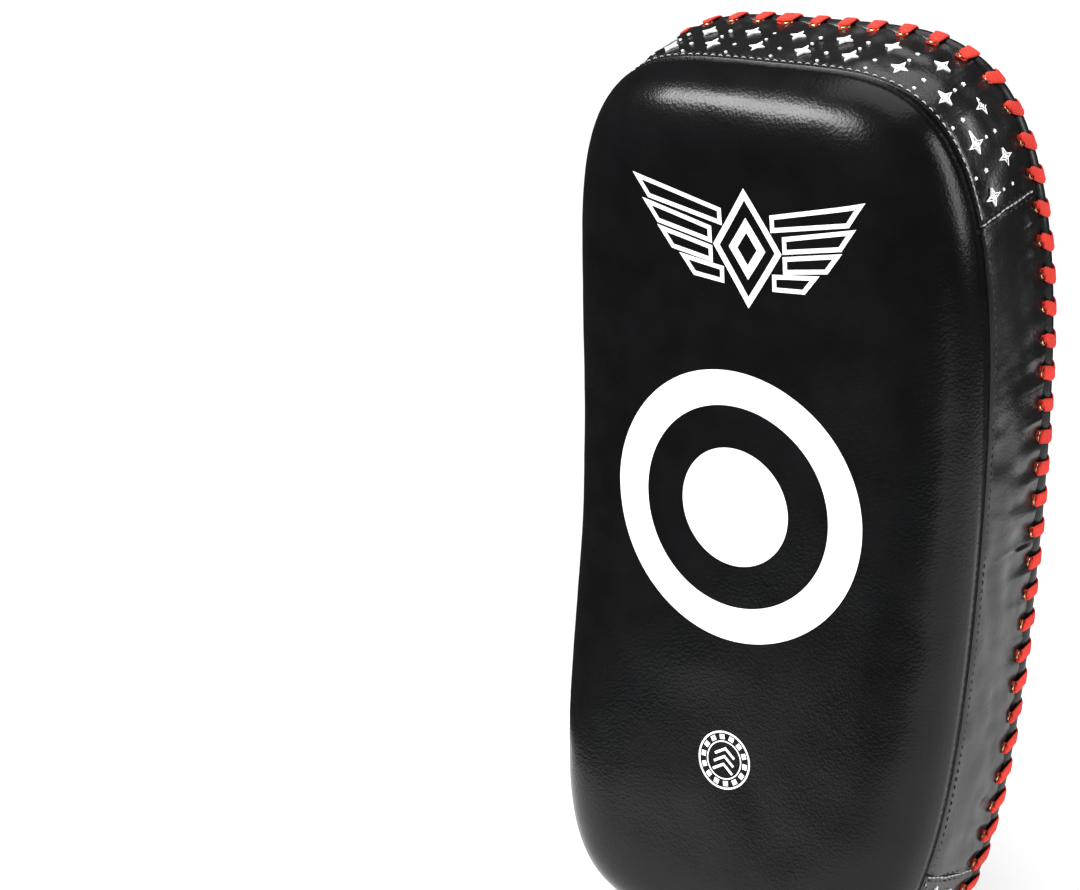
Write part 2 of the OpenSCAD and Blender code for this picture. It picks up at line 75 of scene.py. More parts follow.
def outline(u, e):
    """Rings of the outline, e in from the edge; past 38 mm they close on to a spine."""
    x, z = rect_point(u)
    ec = np.minimum(e, 38.0)
    a = W / 2 - ec
    b = np.where(z < 0, H / 2 + FLAT, H / 2) - ec
    k = (np.abs(x / a) ** NP + np.abs(z / b) ** NP) ** (-1 / NP)
    x, z = x * k, z * k
    v = np.clip((np.asarray(e, float) - 38) / (W / 2 - 38), 0, 1)
    c = np.sign(z) * np.minimum(np.abs(z), (H - W) / 2)
    return x * (1 - v), z * (1 - v) + c * v + H / 2


def floor_at(d):
    return np.clip((np.asarray(d, float) - 30.5) * 2, 0, 3)


def lift(z, zmin):
    return np.where(z > zmin + 2, z, np.where(z < zmin - 2, zmin, zmin + (z - zmin + 2) ** 2 / 8))


def ease(t):
    c = np.clip(t, 0, 1)
    return c * c * (3 - 2 * c)


def bend(x, z, d):
    x, z, d = np.broadcast_arrays(np.asarray(x, float), np.asarray(z, float), np.asarray(d, float))
    q = z - H / 2
    m = (8 * S * q / (H * H) + LEAN) * ease(z / 60)
    k = np.sqrt(1 + m * m)
    return np.stack([x, -S * (2 * q / H) ** 2 - LEAN * z + d / k, z + d * m / k], -1)


def inset_of(x, z):
    """How far a point of the outline plane lies inside the outline."""
    x, z = np.broadcast_arrays(np.abs(np.asarray(x, float)), np.asarray(z, float))
    q = z - H / 2
    b = np.where(q < 0, H / 2 + FLAT, H / 2)
    q = np.abs(q)
    lo, hi = np.full(x.shape, -12.0), np.full(x.shape, W / 2 - 0.01)
    c = np.minimum(q, (H - W) / 2)
    for _ in range(36):
        e = (lo + hi) / 2
        ec = np.minimum(e, 38.0)
        sc = 1 / (1 - np.clip((e - 38) / (W / 2 - 38), 0, 0.9999))
        g = (sc * x / (W / 2 - ec)) ** NP + ((c + sc * (q - c)) / (b - ec)) ** NP
        lo, hi = np.where(g < 1, e, lo), np.where(g < 1, hi, e)
    return (lo + hi) / 2


def back_depth(e):
    return WALL + 4 + RISE * (1 - (1 - np.clip(np.asarray(e, float) / 85, 0, 1)) ** 2.2)


def face_depth(e):
    e = np.asarray(e, float)
    return -CROWN * (1 - (1 - np.clip(e / 36, 0, 1)) ** 2.2) ** (1 / 2.2)


def back_low(z, e):
    """The back panel is drawn up at the bottom, behind the welt."""
    e = np.asarray(e, float)
    return lift(z, e - FLAT + 7.3 * (1 - ease((e - 15) / 60)))


def side_depth(x):
    return float(back_depth(W / 2 - abs(x)))


def vnoise(P, scale, seed=0.0, octaves=2):
    P = np.asarray(P, float)
    flat = P.reshape(-1, P.shape[-1])
    out = np.empty(len(flat))
    for i, p in enumerate(flat):
        v = Vector((p[0] * scale + seed, p[1] * scale - seed * 0.7, (p[2] if len(p) > 2 else 0.0) * scale + seed * 1.3))
        s = mnoise.noise(v)
        if octaves > 1:
            s += 0.5 * mnoise.noise(v * 2.1)
        out[i] = s
    return out.reshape(P.shape[:-1])


# ------------------------------------------------------------------ mesh helpers
def new_mesh(name, verts, faces, uvs=None, mats=None, fmat=None, smooth=True):
    """verts in mm; uvs one pair per vertex."""
    me = bpy.data.meshes.new(name)
    me.from_pydata([tuple(v) for v in (np.asarray(verts, float) / 1000.0)], [], faces)
    me.validate()
    if uvs is not None:
        lay = me.uv_layers.new(name="uv")
        vi = np.empty(len(me.loops), dtype=np.int32)
        me.loops.foreach_get("vertex_index", vi)
        lay.data.foreach_set("uv", np.asarray(uvs, dtype=np.float32)[vi].ravel())
    for m in mats or []:
        me.materials.append(m)
    if fmat is not None and len(fmat) == len(me.polygons):
        me.polygons.foreach_set("material_index", np.asarray(fmat, dtype=np.int32))
    if smooth:
        me.polygons.foreach_set("use_smooth", [True] * len(me.polygons))
    me.update()
    o = bpy.data.objects.new(name, me)
    bpy.context.scene.collection.objects.link(o)
    return o


def grid_faces(I, J, closeI=False, closeJ=False, base=0, flipf=False):
    f = []
    for i in range(I if closeI else I - 1):
        for j in range(J if closeJ else J - 1):
            a, b = base + i * J + j, base + i * J + (j + 1) % J
            c, d = base + ((i + 1) % I) * J + j, base + ((i + 1) % I) * J + (j + 1) % J
            f.append((a, c, d, b) if flipf else (a, b, d, c))
    return f


def fix_normals(o):
    import bmesh
    bm = bmesh.new()
    bm.from_mesh(o.data)
    bmesh.ops.recalc_face_normals(bm, faces=bm.faces)
    bm.to_mesh(o.data)
    bm.free()
    return o


class Pile:
    """Collects many small closed lofts in one mesh."""
    def __init__(self):
        self.v, self.f, self.uv, self.m, self.n = [], [], [], [], 0

    def loft(self, P, closeI=False, caps=True, uv=None, mat=0, matfun=None):
        I, J = P.shape[:2]
        self.v.append(P.reshape(-1, 3))
        if uv is None:
            du = np.concatenate([[0], np.cumsum(np.linalg.norm(np.diff(P.mean(1), axis=0), axis=1))])
            uv = np.stack([np.repeat(du / 10.0, J), np.tile(np.arange(J) / J, I)], -1)
        self.uv.append(np.asarray(uv).reshape(-1, 2))
        f = grid_faces(I, J, closeI, True, self.n)
        self.m += [matfun(k // J, k % J) if matfun else mat for k in range(len(f))]
        self.f += f
        if caps and not closeI:
            self.f.append(tuple(self.n + j for j in range(J))[::-1])
            self.f.append(tuple(self.n + (I - 1) * J + j for j in range(J)))
            self.m += [mat, mat]
        self.n += I * J

    def make(self, name, mats):
        o = new_mesh(name, np.concatenate(self.v), self.f, np.concatenate(self.uv), mats, self.m)
        return fix_normals(o)


def crspline(P, k):
    P = np.asarray(P, float)
    n = len(P)
    out = []
    for i in range(n - 1):
        a, b, c, d = P[max(i - 1, 0)], P[i], P[i + 1], P[min(i + 2, n - 1)]
        for j in range(k):
            t = j / k
            out.append(0.5 * (2 * b + (c - a) * t + (2 * a - 5 * b + 4 * c - d) * t * t + (3 * b - a - 3 * c + d) * t ** 3))
    out.append(P[-1])
    return np.array(out)


def resample(P, n):
    P = np.asarray(P, float)
    s = np.concatenate([[0], np.cumsum(np.linalg.norm(np.diff(P, axis=0), axis=1))])
    t = np.linspace(0, s[-1], n)
    return np.stack([np.interp(t, s, P[:, k]) for k in range(P.shape[1])], -1)


def normals2(P):
    t = np.gradient(P, axis=0)
    t /= np.linalg.norm(t, axis=1)[:, None]
    return np.stack([-t[:, 1], t[:, 0]], -1)


SIDE = [1.0]


def on_back(zc, P):
    """Local x, depth, height-along-pad of the frame lying on the back at height zc, to the row frame."""
    P = np.asarray(P, float)
    q = zc - H / 2
    a = math.atan(8 * S * q / (H * H) + LEAN)
    y0 = -S * (2 * q / H) ** 2 - LEAN * zc
    return np.stack([P[..., 0] * SIDE[0], y0 + P[..., 1] * math.cos(a) - P[..., 2] * math.sin(a), zc + P[..., 1] * math.sin(a) + P[..., 2] * math.cos(a)], -1)


def sections(path, sec):
    """path (N,2) in x, depth; sec (N,M,2) offsets along the path's normal and across."""
    n = normals2(path)
    x = path[:, None, 0] + n[:, None, 0] * sec[..., 0]
    d = path[:, None, 1] + n[:, None, 1] * sec[..., 0]
    return np.stack([x, d, sec[..., 1]], -1)


def rrect(t, w, r=None, k=5):
    """Closed section: thickness t, width w, rounded long edges."""
    r = min(t / 2, 1.2) if r is None else r
    pts = []
    for cx, cw, a0 in ((t / 2 - r, w / 2 - r, 0), (-(t / 2 - r), w / 2 - r, 90), (-(t / 2 - r), -(w / 2 - r), 180), (t / 2 - r, -(w / 2 - r), 270)):
        for j in range(k):
            a = math.radians(a0 + 90 * j / (k - 1))
            pts.append((cx + r * math.cos(a), cw + r * math.sin(a)))
        if a0 in (90, 270):
            pass
    return np.array(pts)


def with_flats(sec, steps=6):
    """Adds points along the two long sides of a rounded section, so that they can bulge."""
    k = len(sec) // 4
    out = []
    for q in range(4):
        part = sec[q * k:(q + 1) * k]
        out += [tuple(p) for p in part]
        nxt = sec[((q + 1) % 4) * k]
        if q in (1, 3):
            for s in range(1, steps):
                out.append(tuple(part[-1] + (nxt - part[-1]) * s / steps))
    return np.array(out)


def tube(P3, r, M=8, up=None, closed=False):
    P3 = np.asarray(P3, float)
    t = (np.roll(P3, -1, 0) - np.roll(P3, 1, 0)) if closed else np.gradient(P3, axis=0)
    t /= np.linalg.norm(t, axis=1)[:, None] + 1e-12
    ref = np.array(up if up is not None else (0.13, 0.31, 0.94), float)
    a = np.cross(t, ref)
    a /= np.linalg.norm(a, axis=1)[:, None] + 1e-12
    b = np.cross(t, a)
    ang = np.linspace(0, 2 * np.pi, M, endpoint=False)
    r = np.broadcast_to(np.asarray(r, float), (len(P3),))
    return P3[:, None] + r[:, None, None] * (np.cos(ang)[None, :, None] * a[:, None] + np.sin(ang)[None, :, None] * b[:, None])


def subdivide(o, levels=1):
    m = o.modifiers.new("subdivision", "SUBSURF")
    m.levels = m.render_levels = levels
    return o


def rnd_material(name, base, rough, metallic=0.0, coat=0.0, coat_rough=0.1, grain=None, rough_var=0.0, col_var=0.0, sheen=0.0, spec=0.5):
    """grain is a list of (kind, scale, strength, distance, coords)."""
    m = bpy.data.materials.new(name)
    m.use_nodes = True
    nt = m.node_tree
    for n in list(nt.nodes):
        nt.nodes.remove(n)
    out = nt.nodes.new("ShaderNodeOutputMaterial")
    p = nt.nodes.new("ShaderNodeBsdfPrincipled")
    nt.links.new(p.outputs[0], out.inputs[0])
    p.inputs["Base Color"].default_value = (*base, 1)
    p.inputs["Roughness"].default_value = rough
    p.inputs["Metallic"].default_value = metallic
    p.inputs["Coat Weight"].default_value = coat
    p.inputs["Coat Roughness"].default_value = coat_rough
    p.inputs["Specular IOR Level"].default_value = spec
    if sheen:
        p.inputs["Sheen Weight"].default_value = sheen
        p.inputs["Sheen Roughness"].default_value = 0.5
    tc = nt.nodes.new("ShaderNodeTexCoord")
    if rough_var:
        nz = nt.nodes.new("ShaderNodeTexNoise")
        nz.inputs["Scale"].default_value = 22
        nz.inputs["Detail"].default_value = 6
        nt.links.new(tc.outputs["Object"], nz.inputs["Vector"])
        mr = nt.nodes.new("ShaderNodeMapRange")
        mr.inputs["From Min"].default_value, mr.inputs["From Max"].default_value = 0.3, 0.7
        mr.inputs["To Min"].default_value, mr.inputs["To Max"].default_value = max(rough - rough_var, 0.03), min(rough + rough_var, 1)
        nt.links.new(nz.outputs["Fac"], mr.inputs["Value"])
        nt.links.new(mr.outputs[0], p.inputs["Roughness"])
    if col_var:
        nz = nt.nodes.new("ShaderNodeTexNoise")
        nz.inputs["Scale"].default_value = 60
        nz.inputs["Detail"].default_value = 5
        nt.links.new(tc.outputs["Object"], nz.inputs["Vector"])
        cr = nt.nodes.new("ShaderNodeValToRGB")
        cr.color_ramp.elements[0].position, cr.color_ramp.elements[1].position = 0.3, 0.75
        cr.color_ramp.elements[0].color = (*[c * (1 - col_var) for c in base], 1)
        cr.color_ramp.elements[1].color = (*[min(c * (1 + col_var), 1) for c in base], 1)
        nt.links.new(nz.outputs["Fac"], cr.inputs["Fac"])
        nt.links.new(cr.outputs[0], p.inputs["Base Color"])
    prev = None
    for kind, scale, strength, dist, coords in grain or []:
        if kind == "voronoi":
            t = nt.nodes.new("ShaderNodeTexVoronoi")
            t.inputs["Scale"].default_value = scale
            outp = t.outputs["Distance"]
        elif kind == "noise":
            t = nt.nodes.new("ShaderNodeTexNoise")
            t.inputs["Scale"].default_value = scale
            t.inputs["Detail"].default_value = 4
            outp = t.outputs["Fac"]
        else:
            t = nt.nodes.new("ShaderNodeTexWave")
            t.wave_type = "BANDS"
            t.bands_direction = kind
            t.inputs["Scale"].default_value = scale
            t.inputs["Distortion"].default_value = 0.6
            outp = t.outputs["Fac"]
        nt.links.new(tc.outputs[coords], t.inputs["Vector"])
        b = nt.nodes.new("ShaderNodeBump")
        b.inputs["Strength"].default_value = strength
        b.inputs["Distance"].default_value = dist
        nt.links.new(outp, b.inputs["Height"])
        if prev is not None:
            nt.links.new(prev.outputs[0], b.inputs["Normal"])
        prev = b
    if prev is not None:
        nt.links.new(prev.outputs[0], p.inputs["Normal"])
    return m


LEATHER_GRAIN = [("noise", 26, 0.25, 0.0016, "Object"), ("voronoi", 720, 0.22, 0.0003, "Object"), ("noise", 1500, 0.2, 0.0002, "Object")]
M = {}
M["face"] = rnd_material("face_leather", (0.0036, 0.0036, 0.004), 0.25, coat=0.06, coat_rough=0.15, spec=0.13, grain=[("noise", 14, 0.22, 0.0022, "Object")] + LEATHER_GRAIN[1:], rough_var=0.05, col_var=0.25)
M["leather"] = rnd_material("black_leather", (0.0045, 0.0045, 0.005), 0.32, coat=0.22, coat_rough=0.2, spec=0.34, grain=LEATHER_GRAIN, rough_var=0.08, col_var=0.25)
M["gloss"] = rnd_material("glossy_leather", (0.0045, 0.0045, 0.005), 0.25, coat=0.4, coat_rough=0.13, spec=0.36, grain=[("noise", 40, 0.3, 0.0014, "Object"), ("voronoi", 650, 0.18, 0.0003, "Object")], rough_var=0.07, col_var=0.2)
M["welt"] = rnd_material("welt_leather", (0.006, 0.006, 0.0066), 0.38, coat=0.12, spec=0.3, grain=LEATHER_GRAIN, rough_var=0.08)
M["white"] = rnd_material("white_print", (0.86, 0.86, 0.86), 0.42, grain=[("voronoi", 720, 0.18, 0.0003, "Object"), ("noise", 1500, 0.15, 0.0002, "Object")], rough_var=0.08, col_var=0.03)
M["red"] = rnd_material("red_lace", (0.74, 0.03, 0.014), 0.72, grain=[("X", 9, 0.55, 0.0006, "UV"), ("noise", 1400, 0.4, 0.0003, "Object")], col_var=0.18, sheen=0.06, spec=0.2)
M["brass"] = rnd_material("eyelet_brass", (0.62, 0.46, 0.24), 0.34, metallic=1.0, grain=[("noise", 900, 0.15, 0.0002, "Object")], rough_var=0.12, col_var=0.2)
M["rivet"] = rnd_material("rivet_brass", (0.72, 0.63, 0.47), 0.3, metallic=1.0, grain=[("noise", 300, 0.25, 0.0003, "Object")], rough_var=0.14, col_var=0.2)
M["ring"] = rnd_material("ring_metal", (0.56, 0.48, 0.34), 0.3, metallic=1.0, grain=[("noise", 500, 0.25, 0.0002, "Object")], rough_var=0.15, col_var=0.3)
M["thread"] = rnd_material("black_thread", (0.03, 0.03, 0.032), 0.55, grain=[("X", 40, 0.5, 0.0002, "UV")], col_var=0.3)
M["pale_thread"] = rnd_material("pale_thread", (0.42, 0.42, 0.4), 0.6, grain=[("X", 40, 0.5, 0.0002, "UV")], col_var=0.1)
M["edge"] = rnd_material("cut_edge", (0.42, 0.4, 0.36), 0.7, grain=[("noise", 900, 0.5, 0.0003, "Object")], col_var=0.25)
M["web"] = rnd_material("black_webbing", (0.014, 0.014, 0.016), 0.75, grain=[("X", 14, 0.6, 0.0006, "UV"), ("Y", 20, 0.4, 0.0004, "UV")], col_var=0.3, sheen=0.15)
M["binding"] = rnd_material("woven_binding", (0.045, 0.046, 0.05), 0.7, grain=[("X", 22, 0.7, 0.0006, "UV"), ("Y", 8, 0.4, 0.0004, "UV")], col_var=0.4, sheen=0.3)
M["pile"] = rnd_material("hook_loop_pile", (0.013, 0.013, 0.014), 0.95, grain=[("voronoi", 1100, 0.9, 0.0008, "Object"), ("noise", 2400, 0.6, 0.0004, "Object")], col_var=0.5, sheen=0.5)
M["label"] = rnd_material("label_cloth", (0.62, 0.64, 0.68), 0.6, grain=[("X", 60, 0.3, 0.0002, "UV"), ("Y", 60, 0.3, 0.0002, "UV")], col_var=0.05)
M["label_ink"] = rnd_material("label_ink", (0.02, 0.02, 0.03), 0.55, grain=[("noise", 900, 0.2, 0.0002, "Object")], col_var=0.2)
M["label_blue"] = rnd_material("label_blue", (0.03, 0.07, 0.3), 0.5, grain=[("noise", 900, 0.2, 0.0002, "Object")], col_var=0.1)
M["foam"] = rnd_material("foam", (0.3, 0.34, 0.4), 0.9, grain=[("voronoi", 500, 0.6, 0.0008, "Object")], col_var=0.1)

# ------------------------------------------------------------------ lacing run
def welt_centre(u):
    x, z = outline(u, 0.5)
    return bend(x, lift(z, 2.6 + WR), WD)


def unit(v):
    return v / np.linalg.norm(v, axis=-1, keepdims=True)


def welt_frame(u):
    u = np.asarray(u, float)
    c = welt_centre(u)
    t = unit(welt_centre(u + 0.002) - welt_centre(u - 0.002))
    x, z = outline(u, 0.5)
    q = z - H / 2
    m = (8 * S * q / (H * H) + LEAN) * ease(z / 60)
    d = unit(np.stack([np.zeros_like(m), np.ones_like(m), m], -1))
    o = unit(np.cross(d, t))
    o = np.where((o * np.stack([c[..., 0], 0 * m, c[..., 2] - H / 2], -1)).sum(-1, keepdims=True) < 0, -o, o)
    return c, t, d, o


LU = np.linspace(0, 1, 1441)
LS = np.concatenate([[0], np.cumsum(np.linalg.norm(np.diff(welt_centre(LU), axis=0), axis=1))])
TOTAL = LS[-1]
PITCH = TOTAL / NST


def at_run(s):
    s = np.mod(s, TOTAL)
    return np.interp(s, LS, LU)


def run_of(u):
    return np.interp(np.mod(u, 1), LU, LS)


# tension pattern of the lace: 1 at a stitch, 0 between
def pull(u, shift=0.0):
    s = run_of(u) + shift
    return 0.5 + 0.5 * np.cos(2 * np.pi * (s / PITCH - 0.5))


jit = rng.uniform(-1, 1, (NST, 4))


def pull_amount(u):
    s = run_of(u) / PITCH - 0.5
    i = np.mod(np.round(s).astype(int), NST)
    return 1 + 0.35 * jit[i, 0]


# ------------------------------------------------------------------ surfaces of the casing
def face_surface(x, z, e=None, out=0.0):
    e = inset_of(x, z) if e is None else e
    d = face_depth(e) - 1.8 * np.clip(1 - (np.asarray(x, float) / 85) ** 2, 0, 1) ** 2 * np.clip(1 - ((np.asarray(z, float) - 200) / 182) ** 2, 0, 1) ** 2
    P = bend(x, z, d)
    n = vnoise(np.stack([np.asarray(x, float) + 0 * d, np.asarray(z, float) + 0 * d], -1), 0.017, 3.1)
    roll = np.exp(-((e - 9) / 9.0) ** 2)
    n2 = vnoise(np.stack([np.asarray(x, float) + 0 * d, np.asarray(z, float) + 0 * d], -1), 0.055, 8.7)
    w = ease(e / 6)
    P[..., 1] -= out + w * (0.55 * n + 0.25 * roll * n2)
    return P


def wall_inset(d):
    return -np.interp(d, [0, 15, 30.4, 32, WALL], [0, 1.9, 2.55, 2.6, 2.7])


def wall_surface(u, d, out=0.0):
    u, d = np.broadcast_arrays(np.asarray(u, float), np.asarray(d, float))
    x, z = outline(u, wall_inset(d) - out)
    lo = floor_at(d) - np.where(out > 0, np.minimum(out, 1.2), out)
    zz = np.maximum(z, np.maximum(lo, 0.02))
    return bend(x, zz, d)


def back_surface(x, z, e=None, out=0.0):
    e = inset_of(x, z) if e is None else e
    return bend(x, back_low(z, e), back_depth(e) + out)


# ------------------------------------------------------------------ strike face
def u_mirror_caps(N, base, fl):
    f = []
    for i in range(-N // 4, N // 4):
        a, b, c, d = (i + N) % N, (i + 1 + N) % N, (N // 2 - i - 1) % N, (N // 2 - i) % N
        q = [base + a, base + b, base + c, base + d]
        q = [v for k, v in enumerate(q) if v not in q[:k]]
        if len(q) > 2:
            f.append(tuple(q if fl else q[::-1]))
    return f


def make_face():
    N = 480
    u = np.arange(N) / N
    es = [0.35, 0.5, 0.9, 1.6, 2.4, 3.4, 4.6, 6, 7.6, 9.4, 11.4, 13.6, 16, 18.6, 21.4, 24.4, 27.6, 31, 35, 39.5, 45, 52, 60, 69, 79, 89, 98, W / 2 - 1.2]
    rows, uvs = [], []
    # turned-in edge under the seam, then the domed face
    x, z = outline(u, 1.9)
    rows.append(bend(x, np.maximum(z, 0.6), 1.2))
    x, z = outline(u, 0.7)
    rows.append(bend(x, np.maximum(z, 0.15), 0.35))
    for e in es:
        x, z = outline(u, e)
        P = face_surface(x, np.maximum(z, 0.02), np.full(N, e))
        rows.append(P)
    P = np.array(rows)
    faces = grid_faces(len(P), N, False, True)
    faces += u_mirror_caps(N, (len(P) - 1) * N, True)
    o = new_mesh("strike_face", P.reshape(-1, 3), faces, None, [M["face"]])
    # the crowded points at the ends of the innermost rings become one
    bm = bmesh.new()
    bm.from_mesh(o.data)
    bmesh.ops.remove_doubles(bm, verts=bm.verts, dist=0.0003)
    bmesh.ops.dissolve_degenerate(bm, edges=bm.edges, dist=0.00001)
    bm.to_mesh(o.data)
    bm.free()
    fix_normals(o)
    return o


face = make_face()
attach(face, "casing"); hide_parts("strike_face_panel")


def print_patch(name, X, Z, faces, mat, lift_mm=0.16):
    """A thin printed layer lying on the strike face."""
    P = face_surface(X, Z, None, lift_mm)
    o = new_mesh(name, P.reshape(-1, 3), faces, np.stack([X.ravel() / 100, Z.ravel() / 100], -1), [mat])
    for p in o.data.polygons:
        if p.normal.y > 0:
            p.flip()
    o.data.update()
    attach(o, "casing")
    return o


def annulus(name, cx, cz, r0, r1, mat, n=160, k=12, lift_mm=0.16):
    r = np.linspace(r0, r1, k)
    a = np.linspace(0, 2 * np.pi, n, endpoint=False)
    X = cx + r[:, None] * np.cos(a)[None]
    Z = cz + r[:, None] * np.sin(a)[None]
    faces = grid_faces(k, n, False, True)
    if r0 < 0.01:
        faces.append(tuple(range(n)))
    return print_patch(name, X, Z, faces, mat, lift_mm)


RT, ZT = 64.2, 210.0
annulus("print_target_ring", 0, ZT, RT * 0.745, RT, M["white"])
annulus("print_target_disc", 0, ZT, 0.005, RT * 0.435, M["white"], k=16, lift_mm=0.16)


def poly_strip(pts, w, closed=True):
    """Mitred strip of width w along a polyline, as inner and outer loops."""
    P = np.asarray(pts, float)
    n = len(P)
    prev, nxt = (np.roll(P, 1, 0), np.roll(P, -1, 0)) if closed else (np.vstack([2 * P[:1] - P[1:2], P[:-1]]), np.vstack([P[1:], 2 * P[-1:] - P[-2:-1]]))
    a, b = unit(P - prev), unit(nxt - P)
    na, nb = np.stack([-a[:, 1], a[:, 0]], -1), np.stack([-b[:, 1], b[:, 0]], -1)
    m = unit(na + nb)
    s = w / 2 / np.clip((m * na).sum(-1), 0.35, 1)
    return P + m * s[:, None], P - m * s[:, None]


def dense(pts, step=1.5, closed=True):
    P = np.asarray(pts, float)
    if closed:
        P = np.vstack([P, P[:1]])
    out = []
    for a, b in zip(P[:-1], P[1:]):
        k = max(int(np.linalg.norm(b - a) / step), 1)
        out += [a + (b - a) * j / k for j in range(k)]
    if not closed:
        out.append(P[-1])
    return np.array(out)


def print_strip(name, pts, w, mat, closed=True, lift_mm=0.16):
    A, B = poly_strip(dense(pts, 1.5, closed), w, closed)
    n = len(A)
    G = np.stack([A, (A + B) / 2, B], 0)
    return print_patch(name, G[..., 0], G[..., 1], grid_faces(3, n, False, closed), mat, lift_mm)


# plain crest above the target: an outlined lozenge between two swept wings
ZL, XL = 331.0, 6.5
print_strip("print_crest_lozenge", [(XL, ZL + 24), (XL + 15.5, ZL), (XL, ZL - 24), (XL - 15.5, ZL)], 2.8, M["white"])
print_strip("print_crest_core", [(XL, ZL + 10.5), (XL + 7, ZL), (XL, ZL - 10.5), (XL - 7, ZL)], 3.6, M["white"])
for i, (h, reach, rise) in enumerate(((13.0, 55, 9.0), (4.3, 51, 6.5), (-4.4, 44, 4.0), (-13.0, 33, 1.5))):
    for sg in (-1, 1):
        xa = 15.5 * (1 - abs(h) / 24) + 6.0
        pts = [(xa, h - 3.0), (reach - 5.5, h - 3.0 + rise * 0.8), (reach, h + 3.6 + rise), (xa, h + 2.6)]
        pts = [(XL + sg * px, ZL + pz) for px, pz in pts]
        print_strip("print_crest_wing_%d%s" % (i, "r" if sg > 0 else "l"), pts if sg > 0 else pts[::-1], 2.0, M["white"])

# generic round seal low on the face: two rings, a plain chevron pattern
ZS, XQ = 88.0, 6.0
annulus("print_seal_outer", XQ, ZS, 12.9, 13.8, M["white"], 72, 3)
annulus("print_seal_inner", XQ, ZS, 8.6, 9.2, M["white"], 60, 3)
for i in range(14):
    a = 2 * math.pi * i / 14
    c, s = math.cos(a), math.sin(a)
    X = XQ + np.array([[c * 9.9 - s * (-1.3), c * 12.2 - s * (-1.3)], [c * 9.9 - s * 1.3, c * 12.2 - s * 1.3]])
    Z = ZS + np.array([[s * 9.9 + c * (-1.3), s * 12.2 + c * (-1.3)], [s * 9.9 + c * 1.3, s * 12.2 + c * 1.3]])
    print_patch("print_seal_block_%d" % i, X, Z, [(0, 1, 3, 2)], M["white"])
for i, h in enumerate((-3.2, 0.6, 4.4)):
    print_strip("print_seal_chevron_%d" % i, [(XQ - 5.2, ZS + h - 2.4), (XQ, ZS + h + 1.2), (XQ + 5.2, ZS + h - 2.4)], 1.2, M["white"], closed=False)


# ------------------------------------------------------------------ side and end panels
def make_wall(name, u0, u1, node, mat):
    nu = int(abs(u1 - u0) * 1500)
    u = np.linspace(u0, u1, nu)
    ds = np.array([0.15, 0.35, 0.7, 1.3, 2.2, 3.5, 5, 7, 9.5, 12.5, 15.5, 18.5, 21, 23, 25, 27, 29, 30.3, 30.9, 31.5, 32.1, 33.4, 35, 36.5, 37.8, 38.8, 39.6, 39.9])
    U, D = np.meshgrid(u, ds, indexing="ij")
    base = wall_surface(U, D)
    # soft folds fanning from the lace holes, and slack waves across the panel
    s = run_of(U)
    amp = np.exp(-((D - 38) / 13.0) ** 2) * ease((D - 6) / 16)
    pk = (0.5 - pull(U)) * pull_amount(U)
    n1 = vnoise(np.stack([s + 0 * D, D * 2.2], -1), 0.035, 5.0)
    n2 = vnoise(np.stack([s + 0 * D, D * 0.7], -1), 0.09, 9.0)
    out = 0.95 * amp * pk + 0.8 * n1 * ease(D / 6) * ease((41 - D) / 8) + 0.35 * n2 * ease(D / 6)
    seam = np.exp(-(D / 1.0) ** 2)
    out = out - 0.6 * seam
    # thin hollow next to the end seams
    edge = np.exp(-((U - u0) * 2 * (W + H) / 1.2) ** 2) + np.exp(-((U - u1) * 2 * (W + H) / 1.2) ** 2)
    out = out - 0.5 * edge
    x, z = outline(U, wall_inset(D) - out)
    low = floor_at(D) + 0.02
    P = bend(x, np.where(z < low, low, z), D)
    # inner side, so that the panel has its thickness
    x2, z2 = outline(U, wall_inset(D) + 1.5 + 0 * out)
    Q = bend(x2, np.maximum(z2, low + 1.5), D)
    n, m = P.shape[:2]
    v = np.concatenate([P.reshape(-1, 3), Q.reshape(-1, 3)])
    f = grid_faces(n, m) + grid_faces(n, m, base=n * m, flipf=True)
    for i in range(n - 1):
        for j in (0, m - 1):
            a, b = i * m + j, (i + 1) * m + j
            f.append((a, b, b + n * m, a + n * m))
    for i in (0, n - 1):
        for j in range(m - 1):
            a = i * m + j
            f.append((a, a + 1, a + 1 + n * m, a + n * m))
    uv = np.stack([s.ravel() / 100, D.ravel() / 100], -1)
    o = new_mesh(name, v, f, np.concatenate([uv, uv]), [mat])
    fix_normals(o)
    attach(o, "casing"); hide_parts(node)
    return o


GAP = 0.0003
make_wall("end_panel_top", 0.125 + GAP, 0.375 - GAP, "top_end_panel", M["leather"])
make_wall("end_panel_bottom", 0.625 + GAP, 0.875 - GAP, "bottom_end_panel", M["leather"])
make_wall("side_panel_left", 0.375 + GAP, 0.625 - GAP, "left_side_panel", M["leather"])
make_wall("side_panel_right", -0.125 + GAP, 0.125 - GAP, "right_side_panel", M["leather"])


def wall_normal(u, d):
    P = wall_surface(u, d)
    a = wall_surface(np.asarray(u) + 0.0008, d) - wall_surface(np.asarray(u) - 0.0008, d)
    b = wall_surface(u, np.asarray(d) + 0.6) - wall_surface(u, np.asarray(d) - 0.6)
    n = unit(np.cross(a, b))
    c = P - np.array([0, 0, H / 2])
    c[..., 1] = 0
    return P, np.where((n * c).sum(-1, keepdims=True) < 0, -n, n), unit(a), unit(b)


